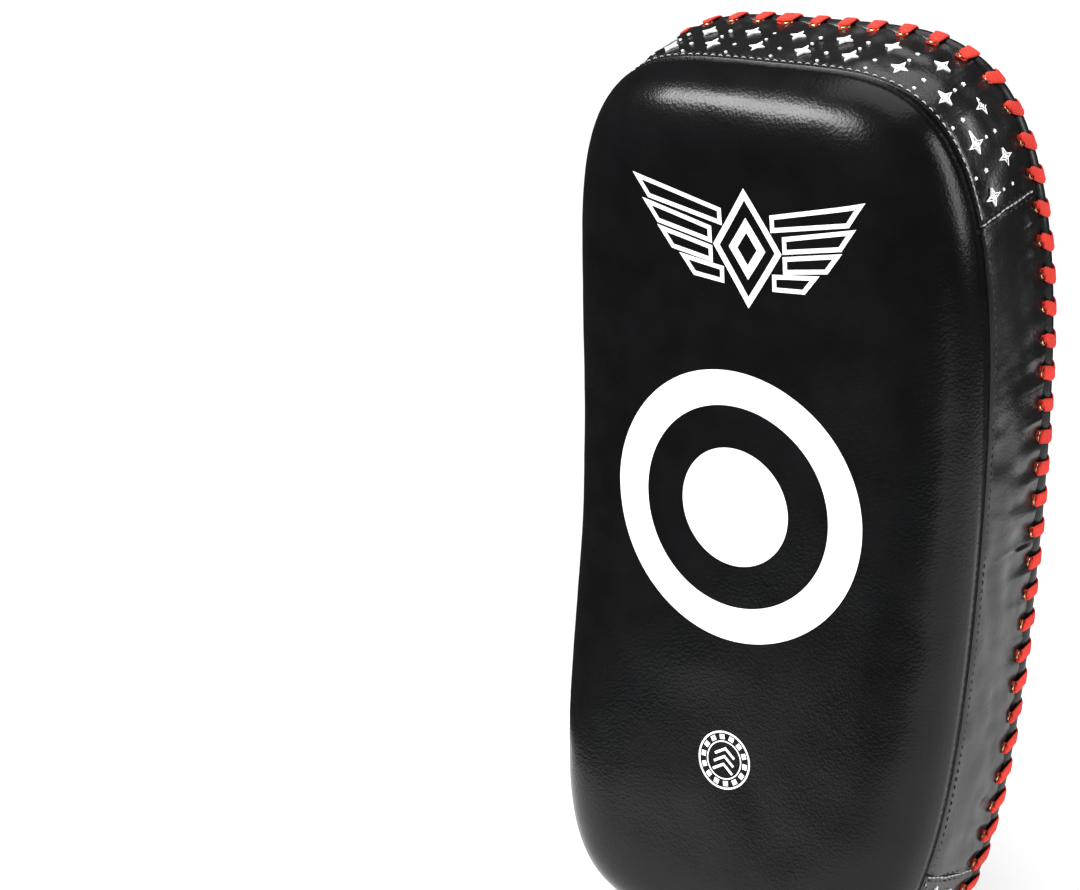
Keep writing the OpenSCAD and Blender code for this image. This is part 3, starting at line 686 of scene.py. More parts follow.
# small repeat printed on the end panels: outlined lozenges and dots in staggered rows
def motif(pile, u, d, size, kind):
    speed = float(np.linalg.norm(wall_surface(np.array(u + 0.002), np.array(d)) - wall_surface(np.array(u - 0.002), np.array(d)))) / 0.004
    P, n, a, b = wall_normal(np.array(u), np.array(d))
    def flat(pts):
        pts = np.array(pts)
        Q, nq, _, _ = wall_normal(u + pts[:, 0] / speed, d + pts[:, 1])
        Q = Q + nq * 0.8
        Q[:, 2] = np.maximum(Q[:, 2], 0.0)
        return Q
    if kind == "dot":
        k = 5
        star = []
        for i in range(10):
            r = size * (1.0 if i % 2 == 0 else 0.5)
            t = math.pi * 2 * i / 10
            star.append((r * math.cos(t), r * math.sin(t)))
        L = flat(star)
        pile.loft(np.stack([L - n * 0.8, L], 0), caps=True)
    else:
        for s0, s1 in ((1.0, 0.72), (0.42, 0.02)):
            o4 = [(size * s0 * x, size * 1.15 * s0 * y) for x, y in ((1, 0), (0.28, 0.28), (0, 1), (-0.28, 0.28), (-1, 0), (-0.28, -0.28), (0, -1), (0.28, -0.28))]
            i4 = [(size * s1 * x, size * 1.15 * s1 * y) for x, y in ((1, 0), (0.28, 0.28), (0, 1), (-0.28, 0.28), (-1, 0), (-0.28, -0.28), (0, -1), (0.28, -0.28))]
            A, B = flat(o4), flat(i4)
            loops = np.stack([A - n * 0.8, A, B, B - n * 0.8], 0)
            pile.loft(loops, closeI=True, caps=False)


prints = Pile()
S0T, S1T = run_of(0.125), run_of(0.375)
S0B, S1B = run_of(0.625), run_of(0.875)
for s0, s1 in ((S0T, S1T), (S0B, S1B)):
    cnt = 2 * int((s1 - s0 - 14) / 22)
    for i in range(cnt + 1):
        s = s0 + 8 + (s1 - s0 - 16) * i / cnt
        motif(prints, at_run(s), 10.5 if i % 2 == 0 else 24.5, 3.9, "lozenge")
        motif(prints, at_run(s), 24.0 if i % 2 == 0 else 10.5, 0.95, "dot")
        motif(prints, at_run(s), 3.6 if i % 2 else 17.5, 0.75, "dot")
pr = prints.make("print_end_repeat", [M["white"]])
pr.data.polygons.foreach_set("use_smooth", [False] * len(pr.data.polygons))
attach(pr, "casing")


# ------------------------------------------------------------------ stitching helper
def stitch_run(pile, P, nrm, length=2.6, gap=1.1, r=0.34, sink=0.05, mat=0):
    """Raised thread stitches along the polyline P on a surface with normals nrm."""
    P = np.asarray(P, float)
    s = np.concatenate([[0], np.cumsum(np.linalg.norm(np.diff(P, axis=0), axis=1))])
    n = max(int(s[-1] / (length + gap)), 1)
    for i in range(n):
        t = (i + 0.5) * s[-1] / n + np.linspace(-length / 2, length / 2, 5)
        c = np.stack([np.interp(t, s, P[:, k]) for k in range(3)], -1)
        nn = unit(np.stack([np.interp(t, s, nrm[:, k]) for k in range(3)], -1))
        h = r * np.array([-0.9, 0.35, 0.7, 0.35, -0.9]) - sink
        c = c + nn * h[:, None]
        pile.loft(tube(c, r * np.array([0.6, 1, 1.05, 1, 0.6]), 6, up=nn[2]), mat=mat)


seams = Pile()
# top stitching beside the front seam, on the wall side
u = np.linspace(0, 1, 900)
P, n, _, _ = wall_normal(u, np.full(900, 2.6))
P[:, 2] = np.maximum(P[:, 2], 0.35)
keep = P[:, 2] > 2.0
idx = np.where(~keep)[0]
order = np.concatenate([np.arange(idx[-1] + 1, 900), np.arange(0, idx[0])])
stitch_run(seams, P[order], n[order], 2.4, 1.3, 0.3, 0.12)
# stitching of the end seams, both sides of each
for u0 in (0.125, 0.375, 0.625, 0.875):
    for du in (-0.0021, 0.0021):
        d = np.linspace(2.0, 37.5, 40)
        Pq, nq, _, _ = wall_normal(np.full(40, u0 + du), d)
        stitch_run(seams, Pq + nq * 0.1, nq, 2.4, 1.2, 0.32, 0.0)
so = seams.make("seam_thread", [M["thread"]])
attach(so, "casing")
# pale thread at the front seam of the end panels
pale = Pile()
for u0, u1 in ((0.127, 0.373), (0.627, 0.873)):
    uu_ = np.linspace(u0, u1, 260)
    Pq, nq, _, _ = wall_normal(uu_, np.full(260, 1.1))
    ok = Pq[:, 2] > 2.0
    if ok.all():
        stitch_run(pale, Pq + nq * 0.12, nq, 2.2, 1.7, 0.25, 0.0)
    else:
        half_ = np.where(~ok)[0]
        for sl_ in (slice(0, half_[0]), slice(half_[-1] + 1, 260)):
            if sl_.stop - sl_.start > 6:
                stitch_run(pale, Pq[sl_] + nq[sl_] * 0.12, nq[sl_], 2.2, 1.7, 0.25, 0.0)
so = pale.make("end_panel_thread", [M["pale_thread"]])
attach(so, "casing")
# pale cut edge of the end panels, lapped over the side panels
laps = Pile()
for u0, sg in ((0.125, -1), (0.375, 1), (0.625, -1), (0.875, 1)):
    d = np.linspace(0.8, 39.2, 50)
    Pq, nq, aq, bq = wall_normal(np.full(50, u0), d)
    C = Pq + nq * 0.15
    C = C + aq * 0.3 * vnoise(np.stack([d, d * 0 + u0 * 50], -1), 0.2, 2.0)[:, None]
    for a_ in range(0, 48, 4):
        laps.loft(tube(C[a_:a_ + 4], np.array([0.3, 0.42, 0.42, 0.3]) * (1.0 if a_ % 8 else 0.85), 8))
lo = laps.make("end_panel_cut_edge", [M["pale_thread"]])
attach(lo, "casing")


# ------------------------------------------------------------------ back panels
EB = 5.3
DIST = np.array([0, 0.5, 1.1, 1.9, 2.9, 4.1, 5.5, 7, 8.7, 10.5, 12.5, 14.8, 17.5, 21, 25, 30, 36, 43, 51, 60, 72, 86, 102, 120, 140, 160, 180])


def back_shape(X, Z, U, dist, xs):
    """Displaced back surface; xs is the seam's |x|."""
    e = inset_of(X, Z)
    sh = np.stack([X, Z], -1)
    n1 = vnoise(sh, 0.03, 12.0)
    n2 = vnoise(sh, 0.08, 17.0)
    amp = np.exp(-np.maximum(dist - 3.0, 0) / 7.5) * ease((dist + 1.0) / 4.0)
    pk = (0.45 - pull(U)) * pull_amount(U)
    out = 0.85 * amp * pk + (0.3 * n1 + 0.18 * n2) * ease(dist / 10)
    g = np.abs(np.abs(X) - xs)
    out += -0.9 * np.exp(-(g / 1.0) ** 2) + 0.35 * np.exp(-((g - 3.2) / 2.2) ** 2)
    P = bend(X, back_low(Z, e), back_depth(e) + out)
    return P


def edge_z(x, top):
    a, b = W / 2 - EB, (H / 2 if top else H / 2 + FLAT) - EB
    v = b * (1 - np.abs(np.asarray(x, float) / a) ** NP) ** (1 / NP)
    return H / 2 + v if top else H / 2 - v


def finish_back(o, node):
    fix_normals(o)
    for p in o.data.polygons[:1]:
        if p.normal.y < 0:
            o.data.flip_normals()
    m = o.modifiers.new("thickness", "SOLIDIFY")
    m.thickness, m.offset = 0.0014, -1
    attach(o, "casing"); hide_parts(node)
    return o


UU = np.linspace(0, 1, 2881)
OX, OZ = outline(UU, EB)


def u_at(x, top):
    sel = OZ > H / 2 if top else OZ < H / 2
    sel &= np.abs(OX) < W / 2 - EB - 0.5
    xs_, us_ = OX[sel], UU[sel]
    k = np.argsort(xs_)
    return np.interp(x, xs_[k], us_[k])


XS = 50.0
xs = np.linspace(-XS + 0.12, XS - 0.12, 210)
xs = np.sort(np.concatenate([xs, [-XS + 0.5, -XS + 0.9, -XS + 1.5, XS - 0.5, XS - 0.9, XS - 1.5]]))
zt, zb = edge_z(xs, True), edge_z(xs, False)
half = np.concatenate([DIST[DIST < 190], [195.0]])
L2 = (zt - zb) / 2
rowsZ, rowsU, rowsD = [], [], []
for k in range(len(half)):
    rowsZ.append(zt - half[k] * L2 / 195.0 if k > 12 else zt - half[k] * np.minimum(1, L2 / 195))
    rowsU.append(u_at(xs, True)); rowsD.append(np.full(len(xs), half[k]))
for k in range(len(half) - 2, -1, -1):
    rowsZ.append(zb + half[k] * L2 / 195.0 if k > 12 else zb + half[k] * np.minimum(1, L2 / 195))
    rowsU.append(u_at(xs, False)); rowsD.append(np.full(len(xs), half[k]))
Zg, Ug, Dg = np.array(rowsZ), np.array(rowsU), np.array(rowsD)
Xg = np.broadcast_to(xs, Zg.shape).copy()
P = back_shape(Xg, Zg, Ug, Dg, XS)
o = new_mesh("back_centre", P.reshape(-1, 3), grid_faces(*Zg.shape), None, [M["gloss"]])
finish_back(o, "back_panel_centre")

for sg, nm, node in ((1, "back_right", "back_panel_right"), (-1, "back_left", "back_panel_left")):
    ut, ub = u_at(XS + 0.12, True), u_at(XS + 0.12, False)
    if ub > 0.5:
        ub -= 1
    uu = np.linspace(ub, ut, 520)
    ox, oz = outline(uu, EB)
    arc = np.concatenate([[0], np.cumsum(np.hypot(np.diff(ox), np.diff(oz)))])
    zt0, zb0 = edge_z(XS, True), float(edge_z(XS, False))
    lz = zb0 + (zt0 - zb0) * arc / arc[-1]
    lx = np.full_like(lz, XS + 0.12)
    Lr = np.hypot(ox - lx, oz - lz)
    V = np.array([0, 0.5, 1.1, 1.9, 2.9, 4.1, 5.5, 7, 8.7, 10.5, 12.5, 14.8, 17.5, 21, 25, 29, 33, 37, 40, 42.4, 44, 45, 45.8, 46.4, 46.8, 47.1])
    V = V / V[-1]
    Xg = ox[None] + (lx - ox)[None] * V[:, None]
    Zg = oz[None] + (lz - oz)[None] * V[:, None]
    Dg = Lr[None] * V[:, None]
    Ug = np.broadcast_to(uu, Xg.shape)
    if sg < 0:
        Xg, Ug = -Xg, 0.5 - Ug
    P = back_shape(Xg, Zg, Ug, Dg, XS)
    o = new_mesh(nm, P.reshape(-1, 3), grid_faces(*Xg.shape), None, [M["gloss"]])
    finish_back(o, node)

# stitching beside the lengthwise seams of the back
bs = Pile()
for sg in (-1, 1):
    for dx in (-3.0, 3.0):
        zz = np.linspace(14, 386, 400)
        xx = np.full(400, sg * (XS + dx))
        e = inset_of(xx, zz)
        Pq = bend(xx, back_low(zz, e), back_depth(e) + 0.25)
        nq = unit(np.cross(np.gradient(Pq, axis=0), bend(xx + 1, zz, back_depth(inset_of(xx + 1, zz)) + 0.25) - Pq))
        nq = np.where(nq[:, 1:2] < 0, -nq, nq)
        stitch_run(bs, Pq, nq, 2.8, 1.2, 0.3, 0.0)
so = bs.make("back_seam_thread", [M["thread"]])
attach(so, "casing")

# ------------------------------------------------------------------ welt
uw = np.linspace(0, 1, 960, endpoint=False)
c, t, d, o_ = welt_frame(uw)
pl = pull(uw)
nz = vnoise(c, 0.06, 30.0)
rad = WR * (1.0 - 0.075 * pl ** 2 + 0.02 * nz)
ang = np.linspace(0, 2 * np.pi, 18, endpoint=False)
P = c[:, None] + rad[:, None, None] * (np.cos(ang)[None, :, None] * o_[:, None] + np.sin(ang)[None, :, None] * d[:, None])
P[..., 2] = np.maximum(P[..., 2], 1.4)
o = new_mesh("welt_roll", P.reshape(-1, 3), grid_faces(960, 18, True, True), None, [M["welt"]])
fix_normals(o)
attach(o, "casing"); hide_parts("welt")


# ------------------------------------------------------------------ lace and eyelets
def back_point(u, e):
    x, z = outline(u, e)
    P = bend(x, back_low(z, e), back_depth(e))
    x2, z2 = outline(u, e + 0.8)
    a = bend(x2, back_low(z2, e + 0.8), back_depth(e + 0.8)) - P
    x3, z3 = outline(np.asarray(u) + 0.001, e)
    b = bend(x3, back_low(z3, e), back_depth(e)) - P
    n = unit(np.cross(a, b))
    return P, (-n if n[1] < 0 else n)


lace, eyes_b, eyes_s = Pile(), Pile(), Pile()


def ribbon3(pile, C, Wd, Nn, w, th, k=5):
    """Flat lace along C with width directions Wd and face normals Nn."""
    half = []
    for a in np.linspace(-1, 1, 2 * k + 1):
        half.append((a, (1 - abs(a) ** 2.6) ** 0.5))
    sec = [(a, h) for a, h in half] + [(a, -h) for a, h in half[::-1][1:-1]]
    sec = np.array(sec)
    P = C[:, None] + Wd[:, None] * (sec[None, :, 0:1] * (w / 2)[:, None, None]) + Nn[:, None] * (sec[None, :, 1:2] * (th / 2)[:, None, None])
    du = np.concatenate([[0], np.cumsum(np.linalg.norm(np.diff(C, axis=0), axis=1))])
    uv = np.stack([np.repeat(du / 2.2, len(sec)), np.tile(sec[:, 0], len(C))], -1)
    pile.loft(P, uv=uv)


def ring_eye(pile, P, n, R=2.5, r=0.62):
    a = unit(np.cross(n, np.array([0.21, 0.11, 0.97])))
    b = np.cross(n, a)
    th = np.linspace(0, 2 * np.pi, 20, endpoint=False)
    C = P + R * (np.cos(th)[:, None] * a + np.sin(th)[:, None] * b)
    ph = np.linspace(0, 2 * np.pi, 8, endpoint=False)
    rd = np.cos(th)[:, None] * a + np.sin(th)[:, None] * b
    T = C[:, None] + (r * 1.25 * np.cos(ph))[None, :, None] * rd[:, None] + (r * np.sin(ph))[None, :, None] * n
    pile.loft(T, closeI=True, caps=False)


extra = NST * 0.265
runs = [(i + 0.5, 0.0) for i in range(NST)] + [(round(extra) + 0.5, 0.36)]
for k, (i, add) in enumerate(runs):
    s = i * PITCH + add * PITCH * 0.5
    j = jit[int(i) % NST]
    sa, sb = s - 2.4 + 0.35 * j[1], s + 2.7 + 0.35 * j[2]
    ua, ub = at_run(sa + 0.9), at_run(sb)
    de = 37.9
    Pa, na, _, ba = wall_normal(np.array(ua), np.array(de))
    Pb, nb = back_point(ub, 13.1)
    Pa[2] = max(Pa[2], 1.0)
    if add == 0.0:
        ring_eye(eyes_s, Pa + ba * 1.5 + na * 0.1, na, 1.75, 0.5)
        ring_eye(eyes_b, Pb + nb * 0.35, nb)
    pts, nrm = [], []
    pts.append(Pa - na * 0.9); nrm.append(ba * 1.0)
    pts.append(Pa + na * 0.75 + ba * 0.5); nrm.append(na)
    Pm, nm, _, bm = wall_normal(np.array(at_run(s - 1.6)), np.array(39.3))
    pts.append(Pm + nm * 1.3); nrm.append(nm)
    for q, a in enumerate((0, 22, 45, 68, 90, 110)):
        ssh = s - 1.2 + 2.4 * q / 5
        cc, tt, dd, oo = welt_frame(np.array(at_run(ssh)))
        v = math.cos(math.radians(a)) * oo + math.sin(math.radians(a)) * dd
        rr = WR + 0.55 + 0.12 * j[3]
        pts.append(cc + v * rr); nrm.append(v)
    Pm2, nm2 = back_point(at_run(s + 1.9), 8.6)
    pts.append(Pm2 + nm2 * 1.15); nrm.append(nm2)
    pts.append(Pb + nb * 0.8 + (Pm2 - Pb) * 0.12); nrm.append(nb)
    pts.append(Pb - nb * 0.9); nrm.append(unit(Pm2 - Pb))
    C = crspline(np.array(pts), 3)
    Nn = unit(crspline(np.array(nrm), 3))
    T = np.gradient(C, axis=0)
    Wd = unit(np.cross(T, Nn))
    Nn = unit(np.cross(Wd, T))
    m = len(C)
    f = np.linspace(0, 1, m)
    w = np.interp(f, [0, 0.1, 0.24, 0.5, 0.76, 0.9, 1], [5.2, 5.6, 6.1, 6.4, 5.9, 3.6, 2.6]) * (1 + 0.05 * j[0])
    th = np.interp(f, [0, 0.12, 0.3, 0.7, 0.88, 1], [1.5, 1.5, 1.1, 1.1, 1.5, 1.5])
    C[:, 2] = np.maximum(C[:, 2], 0.75)
    ribbon3(lace, C, Wd, Nn, w, th)
o = lace.make("lace_stitches", [M["red"]])
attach(o, "casing"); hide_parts("lace")
o = eyes_b.make("eyelets_back", [M["brass"]])
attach(o, "casing"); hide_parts("back_eyelets")
o = eyes_s.make("eyelets_side", [M["brass"]])
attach(o, "casing"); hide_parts("side_eyelets")

# ------------------------------------------------------------------ grip handle
ZH = 333.0
GT = 31.0
grip_ctrl = [[-60, 74.5], [-47, 86.5], [-29, 99], [-8, 107.5], [12, 110.5], [31, 108.5], [48, 101], [60, 89.5], [67, 76]]
gp = crspline(grip_ctrl, 12)
gf = np.linspace(0, 1, len(gp))
g_t = 2.6 + (GT / 2 - 2.6) * np.maximum(np.sin(np.pi * gf), 0) ** 0.45
g_w = 21 - 3.5 * np.sin(np.pi * gf)
MM = 48
th = np.linspace(0, 2 * np.pi, MM, endpoint=False)
se = lambda v, n: np.sign(v) * np.abs(v) ** (2 / n)
ca, sa_ = se(np.cos(th), 2.3), se(np.sin(th), 2.3)
sec = np.stack([g_t[:, None] * ca[None], g_w[:, None] * sa_[None]], -1)
arc = np.concatenate([[0], np.cumsum(np.linalg.norm(np.diff(gp, axis=0), axis=1))])
inner = ease((-ca - 0.1) / 0.8)
wr = vnoise(np.stack([np.repeat(arc[:, None], MM, 1) * 2.6, np.repeat((th * 6)[None], len(gp), 0)], -1), 0.09, 40.0)
soft = vnoise(np.stack([np.repeat(arc[:, None], MM, 1), np.repeat((np.cos(th) * 14)[None], len(gp), 0), np.repeat((np.sin(th) * 14)[None], len(gp), 0)], -1), 0.05, 44.0)
fade = ease(np.minimum(gf, 1 - gf) / 0.08)[:, None]
fac = 1 + fade * (0.07 * wr * inner[None] - 0.015 + 0.02 * soft)
sec = sec * fac[..., None]
P = on_back(ZH, sections(gp, sec))
pile = Pile()
pile.loft(P)
o = pile.make("grip_leather", [M["gloss"]])
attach(o, "grip"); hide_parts("handle_cover")
# the seam along the upper side of the grip, with its piping and thread
pile = Pile()
sl = slice(8, len(gp) - 8)
jj = 15
line = on_back(ZH, sections(gp, sec * 1.0)[sl][:, jj:jj + 1])[:, 0]
ctr = on_back(ZH, np.concatenate([gp, np.zeros((len(gp), 1))], 1))[sl]
nl = unit(line - ctr)
pile.loft(tube(resample(line + nl * 0.25, 120), 1.15, 10), mat=0)
po = pile.make("grip_piping", [M["leather"]])
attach(po, "grip")
pile = Pile()
for jj in (13, 17):
    line = on_back(ZH, sections(gp, sec)[sl][:, jj:jj + 1])[:, 0]
    nl = unit(line - ctr)
    stitch_run(pile, line + nl * 0.05, nl, 2.8, 1.2, 0.32, 0.0)
po = pile.make("grip_thread", [M["thread"]])
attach(po, "grip")


def strap_sweep(pile, zc, path, t, w, r=None, bulge_in=0.0, bulge_out=0.0, zoff=0.0, mat=0, wob=0.0, seed=0.0, uvs=True, steps=8):
    """A flat strap: path (N,2), thickness t and width w along it."""
    N = len(path)
    t, w = np.broadcast_to(np.asarray(t, float), (N,)), np.broadcast_to(np.asarray(w, float), (N,))
    secs = []
    for i in range(N):
        rr = min(t[i] / 2 * 0.98, r if r else 1.1, w[i] / 2 * 0.98)
        s = with_flats(rrect(t[i], w[i], rr), steps)
        f = 1 - (np.abs(s[:, 1]) / (w[i] / 2)) ** 2
        s = s.copy()
        s[:, 0] += np.where(s[:, 0] < 0, -bulge_in * np.clip(f, 0, 1), bulge_out * np.clip(f, 0, 1))
        secs.append(s)
    sec = np.array(secs)
    if wob:
        Q = np.stack([np.repeat(np.arange(N)[:, None] * 1.6, sec.shape[1], 1), sec[..., 1], sec[..., 0]], -1)
        sec[..., 0] += wob * vnoise(Q, 0.07, seed)
    sec[..., 1] += zoff
    P = on_back(zc, sections(path, sec))
    s = np.concatenate([[0], np.cumsum(np.linalg.norm(np.diff(path, axis=0), axis=1))])
    uv = np.stack([np.repeat(s[:, None] / 6.0, sec.shape[1], 1), sec[..., 1] / 6.0], -1)
    pile.loft(P, uv=uv.reshape(-1, 2), mat=mat)
    return P


def line_on(zc, path, off, zz):
    n = normals2(path)
    q = path + n * off
    return on_back(zc, np.concatenate([q, np.full((len(q), 1), float(zz))], 1)), unit(on_back(zc, np.concatenate([q + n, np.full((len(q), 1), float(zz))], 1)) - on_back(zc, np.concatenate([q, np.full((len(q), 1), float(zz))], 1)))


def cross_line(zc, path, i, off, z0, z1, n=30):
    nn = normals2(path)[i]
    q = path[i] + nn * off
    zz = np.linspace(z0, z1, n)
    P = on_back(zc, np.stack([np.full(n, q[0]), np.full(n, q[1]), zz], -1))
    Q = on_back(zc, np.stack([np.full(n, q[0] + nn[0]), np.full(n, q[1] + nn[1]), zz], -1))
    return P, unit(Q - P)


def corner_width(path, w, r, at_start=True, at_end=False):
    s = np.concatenate([[0], np.cumsum(np.linalg.norm(np.diff(path, axis=0), axis=1))])
    out = np.full(len(path), float(w))
    for flag, dd in ((at_start, s), (at_end, s[-1] - s)):
        if flag:
            k = np.clip(r - dd, 0, r)
            out = np.minimum(out, w - 2 * (r - np.sqrt(np.maximum(r * r - k * k, 0))))
    return out


tab_paths = {
    "left": [[-87, side_depth(87) + 3.9], [-82, side_depth(82) + 3.9], [-77, side_depth(77) + 3.8], [-72, side_depth(72) + 4], [-66.8, 67.2]],
    "right": [[87, side_depth(87) + 3.9], [82, side_depth(82) + 3.9], [77.5, side_depth(77.5) + 3.9], [73, side_depth(73) + 4.4], [68.8, 67.4]]}
for sd, ctrl in tab_paths.items():
    sg = -1 if sd == "left" else 1
    path = resample(crspline(ctrl, 6), 34)
    if sg > 0:
        path = path[::-1]
    cw = corner_width(path, 45.6, 5.0, sg < 0, sg > 0)
    pile = Pile()
    strap_sweep(pile, ZH, path, 2.8, cw, 0.8, wob=0.25, seed=50 + sg)
    o = pile.make("grip_tab_" + sd, [M["gloss"]])
    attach(o, "casing"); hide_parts("handle_tab_" + sd)
    # pale cut edge round the tab
    nn = normals2(path)
    up, dn = [np.concatenate([path + nn * 0.1, (s_ * (cw / 2 - 0.1))[:, None]], 1) for s_ in (1, -1)]
    end = path[0] if sg < 0 else path[-1]
    en = nn[0] if sg < 0 else nn[-1]
    hw = (cw[0] if sg < 0 else cw[-1]) / 2 - 0.3
    cap = np.stack([np.full(14, end[0] + en[0] * 0.1), np.full(14, end[1] + en[1] * 0.1), np.linspace(hw, -hw, 14)], -1)
    lp = np.concatenate([up[::-1], cap, dn]) if sg < 0 else np.concatenate([up, cap, dn[::-1]])
    pile = Pile()
    lp3 = resample(on_back(ZH, lp), 150)
    pile.loft(tube(lp3, 0.95, 8))
    o = pile.make("grip_tab_edge_" + sd, [M["edge"]])
    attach(o, "casing")
    # webbing layer under the tab
    wp = [[sg * 83.5, side_depth(83.5)], [sg * 79.5, side_depth(79.5)], [sg * 75, side_depth(75)], [sg * 69, side_depth(69)], [sg * 64, side_depth(64)]]
    wp = resample(crspline(wp if sg < 0 else wp[::-1], 6), 30)
    wp = wp + normals2(wp) * 1.15
    pile = Pile()
    strap_sweep(pile, ZH, wp, 1.5, 44.8, 0.5)
    o = pile.make("grip_webbing_" + sd, [M["web"]])
    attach(o, "casing"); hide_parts("handle_webbing_" + sd)
    # leather running from the tab into the grip
    if sg < 0:
        rp = [[-73, side_depth(73) + 4.4], [-68.8, 65.8], [-64.5, 70.2], [-60, 74.6], [-55.5, 78.8], [-51, 82.9]]
    else:
        rp = [[57.4, 92.6], [62, 86.6], [65, 80.6], [67.0, 75.6], [68.7, 70.4], [71.5, side_depth(71.5) + 5.4], [75, side_depth(75) + 4.6]]
    rp = resample(crspline(rp, 8), 46)
    tt = np.interp(np.linspace(0, 1, 46), [0, 0.45, 0.8, 1], [3.4, 5.4, 13.5, 17.5])
    ww = np.interp(np.linspace(0, 1, 46), [0, 0.5, 1], [44.0, 42.8, 39.6])
    if sg > 0:
        tt, ww = tt[::-1], ww[::-1]
    pile = Pile()
    strap_sweep(pile, ZH, rp, tt, ww, 20, wob=0.5, seed=61 + sg)
    o = pile.make("grip_root_" + sd, [M["gloss"]])
    if sg < 0:
        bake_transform(o)
    else:
        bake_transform(o)

# rivets: flanged domes with a worn crown, and the clinch shank below
pile, pw = Pile(), Pile()
for sg in (-1, 1):
    for dz in (-14, 14):
        ax = np.array([math.sin(math.radians(27)) * sg, math.cos(math.radians(27)), 0.0])
        base = np.array([sg * 77, side_depth(77), dz]) + ax * 5.75
        e1 = np.array([ax[1], -ax[0], 0.0]); e2 = np.array([0, 0, 1.0])
        prof = [(0.02, -14.6), (1.8, -14.6), (1.9, -0.2), (6.6, -0.2), (6.95, 0.15), (6.95, 0.5), (6.6, 0.85), (5.7, 1.25), (4.4, 1.75), (2.8, 2.1), (1.2, 2.2), (0.02, 2.2)]
        a = np.linspace(0, 2 * np.pi, 40, endpoint=False)
        G = np.array([[base + ax * h + r * (math.cos(t_) * e1 + math.sin(t_) * e2) for t_ in a] for r, h in prof])
        pile.loft(on_back(ZH, G))
        ring_c = [np.array([base + ax * (h - 14.1) + r * (math.cos(t_) * e1 + math.sin(t_) * e2) for t_ in a]) for r, h in ((2.3, 0), (5.4, 0), (5.4, 1.1), (2.3, 1.1))]
        pw.loft(on_back(ZH, np.array(ring_c)), closeI=True, caps=False)
o = pile.make("grip_rivets", [M["rivet"]])
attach(o, "casing"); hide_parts("handle_rivets")
o = pw.make("grip_rivet_washers", [M["rivet"]])
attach(o, "casing"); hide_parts("handle_rivet_washers")

# ------------------------------------------------------------------ forearm straps
ARCH = [[-61.5, 78], [-54, 88], [-43, 100], [-28, 111.5], [-8, 119.5], [15, 124.5], [36, 128.5], [51, 130], [63, 128], [71, 121], [75.2, 110], [76, 98], [74.6, 88], [72.5, 77]]
BAR, TOP, TH = np.array([72.0, 67.0]), np.array([84.0, 92.5]), 2.4
FM, FR = 7.3, 5.6


def arch(k):
    return crspline([[p[0], p[1] if p[1] < 98 else 98 + (p[1] - 98) * k] for p in ARCH], 12)


def part(P, a, b):
    return P[int(round(a * 12)):int(round(b * 12)) + 1]


